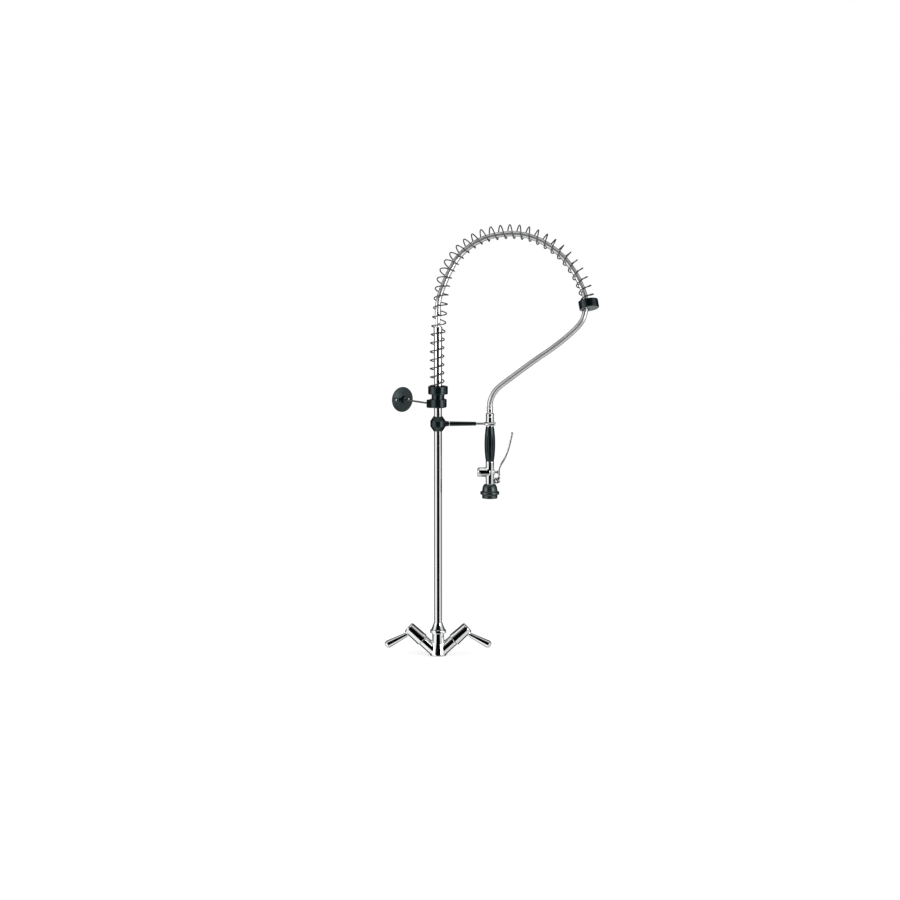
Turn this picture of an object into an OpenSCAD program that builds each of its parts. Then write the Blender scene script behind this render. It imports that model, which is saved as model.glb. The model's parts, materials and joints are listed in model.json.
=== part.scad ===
// Pre rinse faucet: two-valve deck base, riser tube, spring arch with a free hose, spray gun in
// its fork, and a bracket that ties the column to the wall.
// The origin is the centre of the base's underside. +Z runs up the column, +X towards the gun.

/* [Base] */
// Diameter of the foot
foot_d = 46; // [42:0.5:60]
// Height of the straight edge of the foot
foot_edge_h = 6; // [3:0.5:12]
// Diameter of the body under the column nut
neck_d = 33; // [32:0.5:38]
// Height of the body, up to the column nut
body_h = 62; // [58:0.5:80]
// Diameter of the boss that the column nut screws on
boss_d = 32; // [30:0.5:34]
// Length of that boss
boss_h = 11; // [8:0.5:16]
// Bore for the fixing stud, tapped
stud_bore_d = 8.5; // [6.8:0.1:10.2]
// Depth of the stud bore
stud_bore_h = 16; // [10:0.5:20]
// Bore for each supply pipe, tapped
inlet_bore_d = 9; // [8:0.1:10]
// Depth of a supply bore
inlet_bore_h = 14; // [10:0.5:18]
// Distance between the two supply bores
inlet_pitch = 26; // [24:0.5:28]
// Height of the water passages that lead to the column
outlet_z = 34; // [32:0.5:36]
// Diameter of the water passages
passage_d = 7; // [5:0.5:8]
// Diameter of the water chamber under the column
chamber_d = 16; // [12:0.5:18]
// Section of the gasket in the foot
gasket_w = 2.4; // [1.6:0.1:3]

/* [Valve arms] */
// Slope of the arms above the deck
arm_angle = 42.5; // [38:0.5:50]
// Height where the arms' axes meet
arm_root_z = 3.6; // [2:0.1:6]
// Diameter of an arm
arm_d = 31.5; // [29:0.5:34]
// Length of an arm, from the column's axis
arm_len = 58; // [54:0.5:66]
// Bore in an arm for the valve
valve_bore_d = 24; // [22:0.5:25]
// Depth of that bore
valve_bore_h = 30; // [27:0.5:32]
// Diameter of the ceramic discs
disc_d = 18; // [16:0.5:18.5]
// Thickness of one disc
disc_t = 4; // [3:0.5:5]
// Thickness of the seat seal
seat_seal_t = 3; // [2:0.5:4]
// Diameter of the valve body's flange
valve_flange_d = 29; // [27:0.5:30]
// Thickness of the flange
valve_flange_t = 4; // [3:0.5:6]
// Diameter of the spindle
spindle_d = 10; // [8:0.5:11]
// Diameter of the spindle's square end
spindle_tip_d = 8; // [6:0.5:8]
// Length of the valve body's neck
valve_neck_h = 14; // [10:0.5:16]

/* [Handles] */
// Diameter of the hub's skirt
hub_skirt_d = 36; // [34:0.5:42]
// Diameter of the hub near its top
hub_top_d = 33; // [30:0.5:38]
// Length of the hub
hub_len = 53; // [50:0.5:60]
// Wall of the skirt
hub_wall = 2.4; // [1.5:0.1:3]
// Rounding of the hub's top edge
hub_round = 5; // [2:0.5:8]
// Angle from the hub's axis to the lever
lever_angle = 70; // [65:1:80]
// Distance of the lever's axis below the hub's top
lever_drop = 19; // [17:0.5:22]
// Diameter of the lever at the hub
lever_root_d = 12.5; // [11:0.5:15]
// Diameter of the lever at its end
lever_end_d = 21.5; // [16:0.5:26]
// Length of the tapered stretch
lever_len = 58; // [45:0.5:75]
// Length of the rounded end cap
lever_cap_h = 7; // [4:0.5:10]

/* [Column] */
// Outer diameter of the riser tube
tube_d = 22; // [20:0.5:24]
// Wall of the riser tube
tube_wall = 2; // [1.5:0.1:2.5]
// Depth of the tube's socket in the base
socket_h = 23; // [18:0.5:26]
// Outer diameter of the tube's pressed collar
tube_collar_d = 28; // [27:0.5:30]
// Height of that collar
tube_collar_h = 3; // [2:0.5:5]
// Diameter of the column nut
column_nut_d = 44; // [40:0.5:50]
// Height of the nut's ring
column_nut_h = 10; // [8:0.5:12]
// Height of the nut's cone
column_cone_h = 18; // [14:0.5:24]
// Section of the column seal
column_seal_w = 2.6; // [2:0.1:3]
// Height of the threaded end of the tube
tube_thread_h = 10; // [8:0.5:14]
// Wall of the union nut round the tube's thread
union_wall = 1.8; // [1.4:0.1:2.4]
// Height of the union nut's top wall
union_lip_h = 4; // [3:0.5:6]
// Thickness of the union washer
union_washer_t = 2; // [1:0.5:3]
// Diameter of the hose tail
tail_d = 12; // [10:0.5:13]
// Bore of the hose tail
tail_bore_d = 8; // [6:0.5:9]
// Height of the hose tail above its flange
tail_h = 37; // [30:0.5:45]
// Thickness of the tail's flange
tail_flange_t = 3; // [2:0.5:4]

/* [Wall bracket] */
// Height of the wall clamp's underside above the deck
clamp_z = 678.5; // [600:0.5:760]
// Height of the wall clamp
clamp_h = 22.7; // [18:0.1:32]
// Wall of the clamp round the tube
clamp_wall = 12.7; // [9:0.1:16]
// Direction of the rod, turned from +X
rod_turn = 126; // [110:1:140]
// Diameter of the rod
rod_d = 5; // [4:0.5:8]
// Distance from the column's axis to the wall
wall_reach = 168; // [150:1:220]
// Distance of the rod below the clamp's middle
rod_drop = 3.8; // [0:0.1:5]
// Width and height of the rod socket's head
socket_w = 22.5; // [18:0.5:24]
// Length of the rod socket's head
socket_head_h = 13; // [10:0.5:18]
// Rounding of the head's corners
socket_round = 3; // [1:0.5:6]
// Diameter of the socket's screwed shank
socket_shank_d = 14; // [12:0.5:16]
// Diameter of the wall flange
flange_d = 69; // [60:1:90]
// Thickness of the flange at its rim
flange_t = 3; // [2:0.5:5]
// Diameter of the flange's boss
flange_boss_d = 20; // [16:0.5:24]
// Height of the boss
flange_boss_h = 16; // [12:0.5:22]
// Distance between the two screw holes
flange_hole_pitch = 42; // [36:0.5:50]
// Diameter of a screw hole
flange_hole_d = 5.5; // [4.5:0.1:6.5]

/* [Spring arch] */
// Diameter of the spring's wire
wire_d = 3.5; // [3:0.1:4]
// Diameter of a coil, through the middle of the wire
coil_d = 37; // [36:0.1:38]
// Coils in each stretch between two points of the arch
coils_per_span = 2; // [1:1:2]
// Depth of the recess that an end of the spring stands in
recess_h = 8.5; // [8:0.5:14]
// Wall of a collar round that recess
collar_wall = 5; // [3:0.5:8]
// Thickness of the seat collar under its recess
seat_floor_h = 13.3; // [10:0.1:20]
// Height of the seat collar's neck
seat_neck_h = 13.2; // [10:0.1:20]
// Wall of that neck round the tube
seat_neck_wall = 6.5; // [4:0.5:8]
// Thickness of the end collar under its recess
end_floor_h = 15; // [10:0.5:18]
// Slope of the end collar from upright, away from the column
end_tilt = 9.5; // [5:0.5:15]
// Slope of the end collar from upright, towards the front
end_lean = 20; // [12:0.5:24]

/* [Hose] */
// Outer diameter of the hose
hose_d = 15.5; // [14:0.1:16]
// Wall of the ferrules
ferrule_wall = 0.8; // [0.5:0.1:1]
// Length of hose inside a ferrule
ferrule_h = 14; // [10:0.5:18]

/* [Spray holder] */
// Diameter of the clamp's widest band
ball_d = 42; // [40:0.5:50]
// Height of the widest band
ball_band_h = 18; // [16:0.5:22]
// Height of each sloping end
ball_slope_h = 11; // [8:0.5:14]
// Wall of the clamp's ends round the tube
ball_end_wall = 1.5; // [1:0.1:3]
// Diameter of the clamp's nose
nose_d = 13.5; // [13:0.5:16]
// Length of the nose
nose_h = 9; // [6:0.5:14]
// Diameter of the fork's rod
fork_d = 8; // [6:0.5:9]
// Length of the prongs past the gun's axis
prong_h = 12; // [8:0.5:16]
// Length of the bare rod before the fork
bare_rod_h = 19; // [14:0.5:30]
// Diameter of the sleeve at the clamp
sleeve_root_d = 13; // [11:0.5:15]
// Diameter of the sleeve at its far end
sleeve_end_d = 10.5; // [10:0.5:13]
// Gap between the nose and the sleeve
sleeve_gap = 1.5; // [0.5:0.5:3]

/* [Gun handle] */
// Diameter of the swivel
swivel_d = 22.6; // [21:0.1:26]
// Height of the swivel cap
swivel_cap_h = 9.5; // [8:0.5:14]
// Height of the swivel sleeve
swivel_sleeve_h = 13.5; // [12:0.5:18]
// Groove between the two
swivel_groove = 1; // [0.5:0.1:2]
// Diameter of the swivel's spigot
swivel_spigot_d = 13; // [11:0.5:14]
// Diameter of the neck that sits in the fork
gun_neck_d = 20; // [19:0.5:22]
// Height of that neck
gun_neck_h = 12.5; // [11:0.5:16]
// Diameter of the handle tube
handle_tube_d = 16; // [14:0.5:17]
// Bore of the handle tube
handle_bore_d = 11; // [8:0.5:12]
// Length of the grip
grip_h = 94; // [80:1:110]
// Diameter of the grip's ends
grip_end_d = 22; // [21:0.5:24]
// Diameter of the grip's middle
grip_mid_d = 29.5; // [27:0.5:34]
// Number of flutes round the grip
flute_count = 8; // [6:1:12]
// Diameter of a flute
flute_d = 7.2; // [5:0.1:8]
// Depth of a flute
flute_depth = 1.3; // [0.8:0.1:1.6]

/* [Gun valve] */
// Diameter of the valve body
gun_body_d = 23; // [22:0.5:28]
// Height of the valve body
gun_body_h = 62; // [58:0.5:70]
// Height of the valve's axis above the foot of the body
gun_valve_z = 32; // [30:0.5:36]
// Diameter of the side boss
side_boss_d = 26.5; // [24:0.5:28]
// Reach of the side boss from the gun's axis
side_boss_h = 28; // [26:0.5:36]
// Thickness of the side cap
side_cap_h = 6; // [4:0.5:10]
// Diameter of the valve chamber
gun_chamber_d = 18; // [16:0.5:20]
// Diameter of the valve washer
gun_washer_d = 14; // [13:0.5:15]
// Thickness of the valve washer
gun_washer_t = 3; // [2:0.5:4]
// Diameter of the seat's hole
gun_seat_d = 10; // [8:0.5:11]
// Diameter of the stem
stem_d = 6; // [5:0.5:7]
// Diameter of the stem's button
button_d = 9.8; // [8:0.2:11]
// Diameter of the gland
gland_d = 14; // [13:0.5:15]
// Thickness of the gland's head
gland_head_h = 2; // [1.5:0.5:3]
// Wire of the valve spring
valve_wire_d = 1.2; // [0.8:0.1:1.5]
// Diameter of the valve spring, through the middle of its wire
valve_coil_d = 11; // [9:0.5:13]
// Coils of the valve spring
valve_coils = 5; // [3:1:6]

/* [Squeeze lever] */
// Distance of the lever's pin from the gun's axis
pin_reach = 21; // [19:0.5:24]
// Height of the pin above the foot of the valve body
pin_z = 9; // [8.5:0.5:11]
// Diameter of the pin
pin_d = 5; // [4:0.5:6]
// Radius of the lug round the pin
lug_r = 7.5; // [6:0.5:8]
// Width of the lug
lug_w = 8; // [6:0.5:10]
// Thickness of the lever's cheeks
cheek_t = 3; // [2:0.5:4]
// Thickness of the lever's blade
blade_t = 4.6; // [3:0.1:6]
// Width of the blade at its tip
blade_end_w = 10; // [8:0.5:13]
// Radius of the roll at the lever's tip
tip_r = 3; // [2.5:0.1:4]

/* [Spray head] */
// Height of the spray head
head_h = 39; // [34:0.5:46]
// Diameter of the bumper's top edge
head_top_d = 26; // [25:0.5:30]
// Diameter of the bumper's skirt
skirt_d = 42; // [40:0.5:50]
// Height of the bumper's skirt
skirt_h = 10; // [8:0.5:14]
// Diameter of the bumper's rim
rim_d = 52; // [48:0.5:60]
// Height of the bumper's rim
rim_h = 9.5; // [8:0.5:12]
// Wall of the bumper
bumper_wall = 3; // [2:0.1:4]
// Diameter of the threaded joint to the valve body
head_thread_d = 20; // [18:0.5:21]
// Length of that joint
head_thread_h = 8; // [6:0.5:10]
// Thickness of the spray face
face_t = 3; // [2:0.5:4]
// Diameter of a jet
jet_d = 1.6; // [1.2:0.1:2.2]
// Jets in the outer ring
jet_count = 12; // [8:1:16]

/* [Hidden] */
$fn = 72;
fit = 0.05;          // radial clearance of a turned fit
rest_gap = 0.3;      // space between pieces that move past each other
soft_gap = 0.6;      // space round the spring and the hose
part_gap = 0.5;      // space between a hub and its arm
lead = 1;            // how far a cutter runs past a face

// The spring's centreline, [x, y, height above the seat's floor]. It leans back from the column and
// comes forward again on its way down. It starts below the floor so that every stretch holds the
// same number of coils.
ARCH = [
    [-1, 0, -13], [-2.5, -2, 33], [-2.5, -1.5, 78], [-2, 0, 124], [1.5, 0.5, 169], [6, 1.5, 218],
    [11, 12, 268], [23, 26, 314], [47, 39, 353], [81, 47, 386], [122, 51, 409], [170, 53, 420],
    [218, 52, 421], [264, 48, 409], [307, 40, 386], [344, 27, 355], [373, 10, 316], [393, -7, 274],
    [403, -23, 233]
];
// The hose's centreline, [x, y, height above the seat's floor], from the tail to the gun.
HOSE = [
    [0, 0, 202], [0, 0, 217], [0, 0, 226], [2.4, 2.2, 242], [8.2, 8.2, 262],
    [17, 17, 284], [29.5, 26, 312], [52, 36.5, 350], [85, 45.5, 381], [125, 50, 403],
    [171, 52, 413.5], [217, 51, 414.5], [261, 47, 403.5], [303, 39, 381], [339, 26, 351],
    [367.5, 9, 312.5], [387, -6.5, 272.5], [394, -16.5, 248], [395.5, -24, 222.5], [392.5, -29.5, 205],
    [387, -32, 189.5], [377, -33, 175], [363, -32, 160], [336, -29, 136], [304, -26, 111],
    [263, -20, 82], [222.5, -13, 51.5], [198.5, -9, 33], [179.5, -5.5, 18.5], [161.5, -2.5, 3.5],
    [150.5, -1, -10.5], [144, -0.5, -23.5], [140.8, 0, -34.5], [140, 0, -43.5], [140, 0, -47],
    [140, 0, -61]
];
hose_sides = 10;
rings_per_point = 2;
wire_sides = 6;
rings_per_coil = 8;
coil_phase = 180;    // turn of the spring's first coil, from +X
wire_bend = 4;       // radius of the bend into a wire's straight end

// Heights up the column
boss_top = body_h + boss_h;
socket_z = boss_top - socket_h;
clamp_top = clamp_z + clamp_h;
seat_z = clamp_top + rest_gap;
seat_floor_z = seat_z + seat_neck_h + seat_floor_h;
seat_top = seat_floor_z + recess_h;
hose_top_z = seat_floor_z + HOSE[0][2];
tail_flange_z = hose_top_z - tail_h - tail_flange_t;
thread_top = tail_flange_z - union_washer_t;
tube_top = thread_top - tube_thread_h;
tube_r = tube_d / 2;
tube_bore_d = tube_d - 2 * tube_wall;
thread_d = tube_d - 1.6;
union_d = thread_d + 2 * (fit + union_wall);

// Along an arm, from the column's axis
bore_floor = arm_len - valve_bore_h;
fixed_disc_u = bore_floor + seat_seal_t;
moving_disc_u = fixed_disc_u + disc_t;
spindle_u = moving_disc_u + disc_t;
spindle_foot_h = 3;
cage_top = spindle_u + spindle_foot_h + rest_gap;
cage_d = valve_bore_d - 2;
flange_u = arm_len + valve_flange_t;
valve_top = flange_u + valve_neck_h;
hub_u = arm_len + part_gap;
hub_top = hub_u + hub_len;
hub_cavity_top = valve_top + rest_gap + 2;
lever_u = hub_top - lever_drop;
spindle_top = lever_u + 2;
lever_seat = hub_skirt_d / 2 + 1;
grub_d = 5;
grub_h = 8;
grub_u = (hub_cavity_top + lever_u) / 2;

// Wall bracket, along the rod from the column's axis
clamp_d = tube_d + 2 * clamp_wall;
rod_z = clamp_z + clamp_h / 2 - rod_drop;
socket_u = clamp_d / 2 + 1.8;
socket_end = socket_u + socket_head_h;
rod_grip = 14;       // length of rod inside its socket, and inside the flange's boss
flange_front = wall_reach - flange_t;
boss_front = flange_front - flange_boss_h;

// Spring and its collars
recess_d = coil_d + wire_d + 2 * (soft_gap + 1);
collar_d = recess_d + 2 * collar_wall;
END = ARCH[len(ARCH) - 1] + [0, 0, seat_floor_z];
hose_hole = [-9.3, 2.1];   // the hose lies on the inner side of the coils
hose_hole_gap = 2.5; // space round the hose in the end collar

// Gun, from the hose down
gun_x = HOSE[len(HOSE) - 1][0];
hose_end_z = seat_floor_z + HOSE[len(HOSE) - 1][2];
swivel_top = hose_end_z - 2;
cap_z = swivel_top - 2 - swivel_cap_h;
sleeve_top = cap_z - swivel_groove;
sleeve_z = sleeve_top - swivel_sleeve_h;
neck_z = sleeve_z - gun_neck_h;
grip_top = neck_z;
grip_z = grip_top - grip_h;
gun_body_z = grip_z - gun_body_h;
valve_z = gun_body_z + gun_valve_z;
head_z = gun_body_z - head_h;
sleeve_lip_h = 3.5;
spigot_flange_h = 2.7;
sleeve_thread_d = 18;
spigot_foot = sleeve_top - sleeve_lip_h - rest_gap - spigot_flange_h;
handle_top = spigot_foot - rest_gap - 2;
tube_screw_h = 14;   // length of the handle tube's screwed end

// Spray holder
fork_ring_r = gun_neck_d / 2 + 0.5 + fork_d / 2;
fork_z = sleeve_z - 0.5 - fork_d / 2;
ball_h = ball_band_h + 2 * ball_slope_h;
nose_end = ball_d / 2 + nose_h;
rod_start = tube_r + 5;
sleeve_start = nose_end + sleeve_gap;
sleeve_end = gun_x - fork_ring_r - fork_d / 2 - bare_rod_h;
set_screw_d = 6;
set_screw_h = 8;

// Gun valve, along X from the gun's axis
seat_x = -4;
chamber_end = -side_boss_h;
spring_floor_x = chamber_end + 3;
washer_x = seat_x - gun_washer_t;
poppet_t = 3;
poppet_x = washer_x - poppet_t;
gland_bore_d = 12;
stem_wall_x = 2;
seal_x = 4;
seal_t = 2.5;
gland_face = gun_body_d / 2 + 0.5;
gland_end = gland_face + gland_head_h;
button_h = 2.4;
blade_x = pin_reach + 1.5;
stem_end = blade_x - rest_gap;

// Squeeze lever: the middle of its blade, [x from the gun's axis, height above the foot of the
// valve body]
BLADE = [[25.4, 18], [24.8, 32], [25.3, 42], [30, 53], [40, 70], [49, 92], [56, 119], [60, 138]];
steps_per_span = 4;

// Spray head
head_r = skirt_d / 2 - bumper_wall;
face_r = head_r - 2;
ring_h = 3;
face_seal_t = 2;
ring_z = head_z + 1;
face_z = ring_z + ring_h;
face_seal_z = face_z + face_t;

chrome = [0.86, 0.87, 0.89];
steel = [0.62, 0.63, 0.64];
brass = [0.78, 0.64, 0.36];
ceramic = [0.92, 0.90, 0.86];
black_plastic = [0.10, 0.13, 0.14];
black_rubber = [0.07, 0.08, 0.08];
hose_grey = [0.66, 0.67, 0.68];

// ---- Shapes and frames that several pieces share ----

// A ring or a disc between two heights.
module ring(outer_d, inner_d, low, high) {
    translate([0, 0, low]) difference() {
        cylinder(d = outer_d, h = high - low);
        translate([0, 0, -lead]) cylinder(d = inner_d, h = high - low + 2 * lead);
    }
}

// A cutter that runs past both of its heights.
module bore(d, low, high) {
    translate([0, 0, low]) cylinder(d = d, h = high - low);
}

// A solid of revolution from [radius, height] points.
module turned(outline) {
    rotate_extrude() polygon(outline);
}

// Points of an arc, for turned outlines.
function arc(cx, cy, r, from, to, steps = 5) =
    [for (i = [0:steps]) let (a = from + (to - from) * i / steps) [cx + r * cos(a), cy + r * sin(a)]];

// A rod between two points.
module rod_between(a, b, d) {
    v = b - a;
    translate(a) rotate([0, acos(v[2] / norm(v)), atan2(v[1], v[0])]) cylinder(d = d, h = norm(v));
}

// The frame of an arm: +Z runs out along its axis, and side is 1 on the right, -1 on the left.
module on_arm(side) {
    translate([0, 0, arm_root_z]) rotate([0, side * (90 - arm_angle), 0]) children();
}

// The frame of a lever: +Z runs out along it, from the hub's axis.
module on_lever(side) {
    on_arm(side) translate([0, 0, lever_u]) rotate([0, side * lever_angle, 0]) children();
}

// The frame of the wall rod: +Z runs out along it, from the column's axis.
module on_rod() {
    translate([0, 0, rod_z]) rotate([0, 0, rod_turn]) rotate([0, 90, 0]) children();
}

// The frame of the end collar: its recess floor is at the origin, and +Z runs up out of it.
module on_end() {
    translate(END) rotate([-end_lean, -end_tilt, 0]) children();
}

// The gun's axis, and the frame of its valve, where +Z runs along +X.
module on_gun() {
    translate([gun_x, 0, 0]) children();
}

module on_valve() {
    translate([gun_x, 0, valve_z]) rotate([0, 90, 0]) children();
}

// ---- Swept tubes ----

function unit(v) = v / norm(v);

function catmull(p0, p1, p2, p3, t) =
    0.5 * (2 * p1 + (p2 - p0) * t + (2 * p0 - 5 * p1 + 4 * p2 - p3) * t * t
        + (3 * p1 - p0 - 3 * p2 + p3) * t * t * t);

// The point at s on a smooth curve through the points, where s counts points from the first.
function along(points, s) =
    let (i = max(0, min(floor(s), len(points) - 2)),
         before = i > 0 ? points[i - 1] : 2 * points[0] - points[1],
         after = i + 2 < len(points) ? points[i + 2] : 2 * points[i + 1] - points[i])
    catmull(before, points[i], points[i + 1], after, s - i);

function direction(points, s) = unit(along(points, s + 0.02) - along(points, s - 0.02));

// A ring of a coil, [centre, outward direction]: middle and way are the coil's own centre and
// direction, and its turn is counted from the inner side of the arch.
function coil_ring(middle, way, r, phase) =
    let (side = unit(cross([0, 1, 0], way)),
         out = cos(phase) * side + sin(phase) * cross(way, side))
    [middle + r * out, out];

// The rings of one end: a straight wire off the floor, then a bend into the coils.
// turn is 1 where the wire leaves the floor and -1 where it comes down to it.
function coil_end(middle, way, r, wire, phase, slope, turn) =
    let (bend_turn = wire_bend * (1 - cos(90 - slope)) / r * 180 / PI,
         straight = [for (rise = [0, wire]) [rise, 0]],
         bent = [for (a = [30, 60]) [wire + wire_bend * sin(a), wire_bend * (1 - cos(a)) / r * 180 / PI]])
    [for (p = concat(straight, bent))
        coil_ring(middle + turn * p[0] * way, way, r, phase + turn * (p[1] - bend_turn))];

// All the rings of a coiled wire along the points, from s = first to s = last, between two floors.
function coil_rings(points, first, last, way_in, way_out, r, wire, coils, phase) =
    let (span = norm(along(points, first + 0.5) - along(points, first)) * 2,
         slope = atan(span / coils / (2 * PI * r)),
         lift = (wire + wire_bend * sin(90 - slope)) / span,
         count = ceil((last - first - 2 * lift) * coils * rings_per_coil),
         at = [for (i = [0:count]) first + lift + (last - first - 2 * lift) * i / count])
    concat(
        coil_end(along(points, first), way_in, r, wire, phase + at[0] * coils * 360, slope, 1),
        [for (s = at) coil_ring(along(points, s), direction(points, s), r, phase + s * coils * 360)],
        [for (k = [3:-1:0]) coil_end(along(points, last), way_out, r, wire,
            phase + at[count] * coils * 360, slope, -1)[k]]);

// Least space between two turns of a wire, from its ring centres.
function least_gap(rings, wire) =
    min([for (i = [0:len(rings) - 1], j = [i + rings_per_coil / 2 + 1:len(rings) - 1])
        norm(rings[i][0] - rings[j][0])]) - wire;

// A closed tube of triangles through rings of [centre, outward direction].
module swept(rings, r, sides) {
    last = len(rings) - 1;
    corners = [for (i = [0:last])
        let (t = unit(rings[min(i + 1, last)][0] - rings[max(i - 1, 0)][0]),
             u = unit(rings[i][1] - (rings[i][1] * t) * t),
             v = cross(t, u))
        for (k = [0:sides - 1])
            rings[i][0] + r * (cos(360 * k / sides) * u + sin(360 * k / sides) * v)];
    walls = [for (i = [0:last - 1], k = [0:sides - 1])
        let (a = i * sides + k, b = i * sides + (k + 1) % sides)
        each [[a, a + sides, b], [b, a + sides, b + sides]]];
    start_cap = [for (k = [1:sides - 2]) [0, k, k + 1]];
    end_cap = [for (k = [1:sides - 2]) [last * sides, last * sides + k + 1, last * sides + k]];
    polyhedron(corners, concat(walls, start_cap, end_cap), convexity = 10);
}

// ---- Base ----

body_curve_steps = 8;

module base_outer() {
    curve_h = body_h - foot_edge_h - 6;
    turned(concat(
        [[0, 0], [foot_d / 2 - 1, 0], [foot_d / 2, 1]],
        [for (i = [0:body_curve_steps]) let (t = i / body_curve_steps)
            [neck_d / 2 + (foot_d - neck_d) / 2 * pow(1 - t, 2), foot_edge_h + curve_h * t]],
        [[neck_d / 2, body_h], [boss_d / 2, body_h], [boss_d / 2, boss_top], [0, boss_top]]));
    for (side = [-1, 1]) on_arm(side) cylinder(d = arm_d, h = arm_len);
}

module base_body() color(chrome) difference() {
    base_outer();
    translate([-arm_len, -arm_d, -arm_d]) cube([2 * arm_len, 2 * arm_d, arm_d]);
    translate([0, 0, -lead]) bore(stud_bore_d, 0, stud_bore_h + lead);
    difference() {
        translate([0, 0, -lead]) bore(foot_d - 3.4, 0, gasket_w + lead);
        translate([0, 0, -2 * lead]) bore(foot_d - 3.4 - 2 * gasket_w, 0, gasket_w + 4 * lead);
    }
    bore(chamber_d, outlet_z - passage_d / 2 - 1, socket_z + lead);
    bore(tube_d + 2 * fit, socket_z, boss_top + lead);
    bore(tube_d + 2 * column_seal_w, boss_top - column_seal_w, boss_top + lead);
    for (side = [-1, 1]) {
        translate([side * inlet_pitch / 2, 0, -lead]) bore(inlet_bore_d, 0, inlet_bore_h + lead);
        on_arm(side) bore(valve_bore_d, bore_floor, arm_len + lead);
        rod_between([side * inlet_pitch / 2, 0, inlet_bore_h - 4],
            [side * bore_floor * cos(arm_angle), 0, arm_root_z + bore_floor * sin(arm_angle)], passage_d);
        rod_between([0, 0, outlet_z], [side * 18, 0, outlet_z], passage_d);
    }
}

module base_gasket() color(black_rubber)
    ring(foot_d - 3.4, foot_d - 3.4 - 2 * gasket_w, 0, gasket_w);

// ---- Mixer valves ----

module valve_body(side) color(brass) on_arm(side) difference() {
    turned([
        [disc_d / 2 + fit, bore_floor + rest_gap], [cage_d / 2, bore_floor + rest_gap],
        [cage_d / 2, cage_top], [valve_bore_d / 2 - fit, cage_top + 1],
        [valve_bore_d / 2 - fit, arm_len], [valve_flange_d / 2, arm_len],
        [valve_flange_d / 2, flange_u - 1], [valve_flange_d / 2 - 1, flange_u],
        [spindle_d / 2 + 3, flange_u], [spindle_d / 2 + 3, valve_top],
        [spindle_d / 2 + fit, valve_top], [spindle_d / 2 + fit, cage_top],
        [disc_d / 2 + fit, cage_top]
    ]);
    translate([0, 0, moving_disc_u + 2]) rotate([0, 90, 0])
        cylinder(d = passage_d - 1, h = valve_bore_d, center = true);
}

module seat_seal(side) color(black_rubber) on_arm(side)
    ring(disc_d - 1, passage_d + 1, bore_floor, fixed_disc_u);

// Two water ports, and a matching pair of drive holes in the moving disc.
module disc(side, low, ports) color(ceramic) on_arm(side) difference() {
    bore(disc_d, low, low + disc_t);
    for (x = ports) translate([x * disc_d / 4, 0, -lead]) bore(5, low, low + disc_t + 2 * lead);
}

module spindle(side) color(brass) on_arm(side) difference() {
    union() {
        bore(disc_d - 1, spindle_u, spindle_u + spindle_foot_h);
        bore(spindle_d, spindle_u, valve_top + 1);
        bore(spindle_tip_d, valve_top, spindle_top);
    }
    for (flat = [-1, 1])
        translate([flat * spindle_tip_d * 0.9 - spindle_tip_d / 2, -spindle_tip_d, valve_top + 1])
        cube([spindle_tip_d, 2 * spindle_tip_d, hub_len]);
}

// ---- Handles ----

module hub(side) color(chrome) difference() {
    union() {
        on_arm(side) turned(concat(
            [[0, hub_u], [hub_skirt_d / 2 - 0.6, hub_u], [hub_skirt_d / 2, hub_u + 0.6],
             [hub_skirt_d / 2 - 0.4, hub_u + 10]],
            arc(hub_top_d / 2 - hub_round, hub_top - hub_round - 0.8, hub_round, 0, 75),
            [[0, hub_top]]));
        on_lever(side) bore(lever_root_d, hub_top_d / 4, lever_seat);
    }
    on_arm(side) {
        translate([0, 0, -lead]) bore(hub_skirt_d - 2 * hub_wall, hub_u, hub_cavity_top + lead);
        bore(spindle_tip_d + 2 * fit, hub_cavity_top - lead, spindle_top + 1);
        translate([0, 0, grub_u]) rotate([-90, 0, 0]) cylinder(d = grub_d + 2 * fit, h = hub_skirt_d);
    }
    on_lever(side) translate([0, 0, spindle_tip_d]) cylinder(d = spindle_tip_d + 2 * fit, h = hub_skirt_d);
}

module lever(side) color(chrome) on_lever(side) turned(concat(
    [[0, spindle_tip_d + 1], [spindle_tip_d / 2, spindle_tip_d + 1], [spindle_tip_d / 2, lever_seat],
     [lever_root_d / 2, lever_seat], [lever_end_d / 2, lever_seat + lever_len]],
    [[lever_end_d / 2 - 0.8, lever_seat + lever_len + 1.5],
     [lever_end_d / 2 - 3, lever_seat + lever_len + lever_cap_h - 1.2],
     [lever_end_d / 2 - 5, lever_seat + lever_len + lever_cap_h],
     [0, lever_seat + lever_len + lever_cap_h]]));

module grub_screw(side) color(steel) on_arm(side)
    translate([0, 0, grub_u]) rotate([-90, 0, 0]) difference() {
        translate([0, 0, spindle_tip_d / 2 + fit]) cylinder(d = grub_d, h = grub_h);
        translate([0, 0, spindle_tip_d / 2 + grub_h - 2]) cylinder(d = grub_d / 2, h = 4, $fn = 6);
    }

// ---- Column ----

module column_nut() color(chrome) {
    nut_r = column_nut_d / 2;
    shoulder = boss_top + tube_collar_h;
    cone_z = body_h + column_nut_h;
    top = cone_z + column_cone_h;
    turned(concat(
        [[boss_d / 2 + fit, body_h], [nut_r - 1.5, body_h]],
        arc(nut_r - 1.5, body_h + 1.5, 1.5, -90, 0, 3),
        arc(nut_r - 3, cone_z - 3, 3, 0, 60, 3),
        [for (i = [0:6]) let (t = i / 6)
            [tube_r + 1.2 + (nut_r - tube_r - 4) * pow(1 - t, 1.25), cone_z + column_cone_h * t]],
        [[tube_r + fit, top], [tube_r + fit, shoulder], [boss_d / 2 + fit, shoulder]]));
}

module column_seal() color(black_rubber)
    ring(tube_d + 2 * column_seal_w, tube_d + 2 * fit, boss_top - column_seal_w, boss_top);

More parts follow.
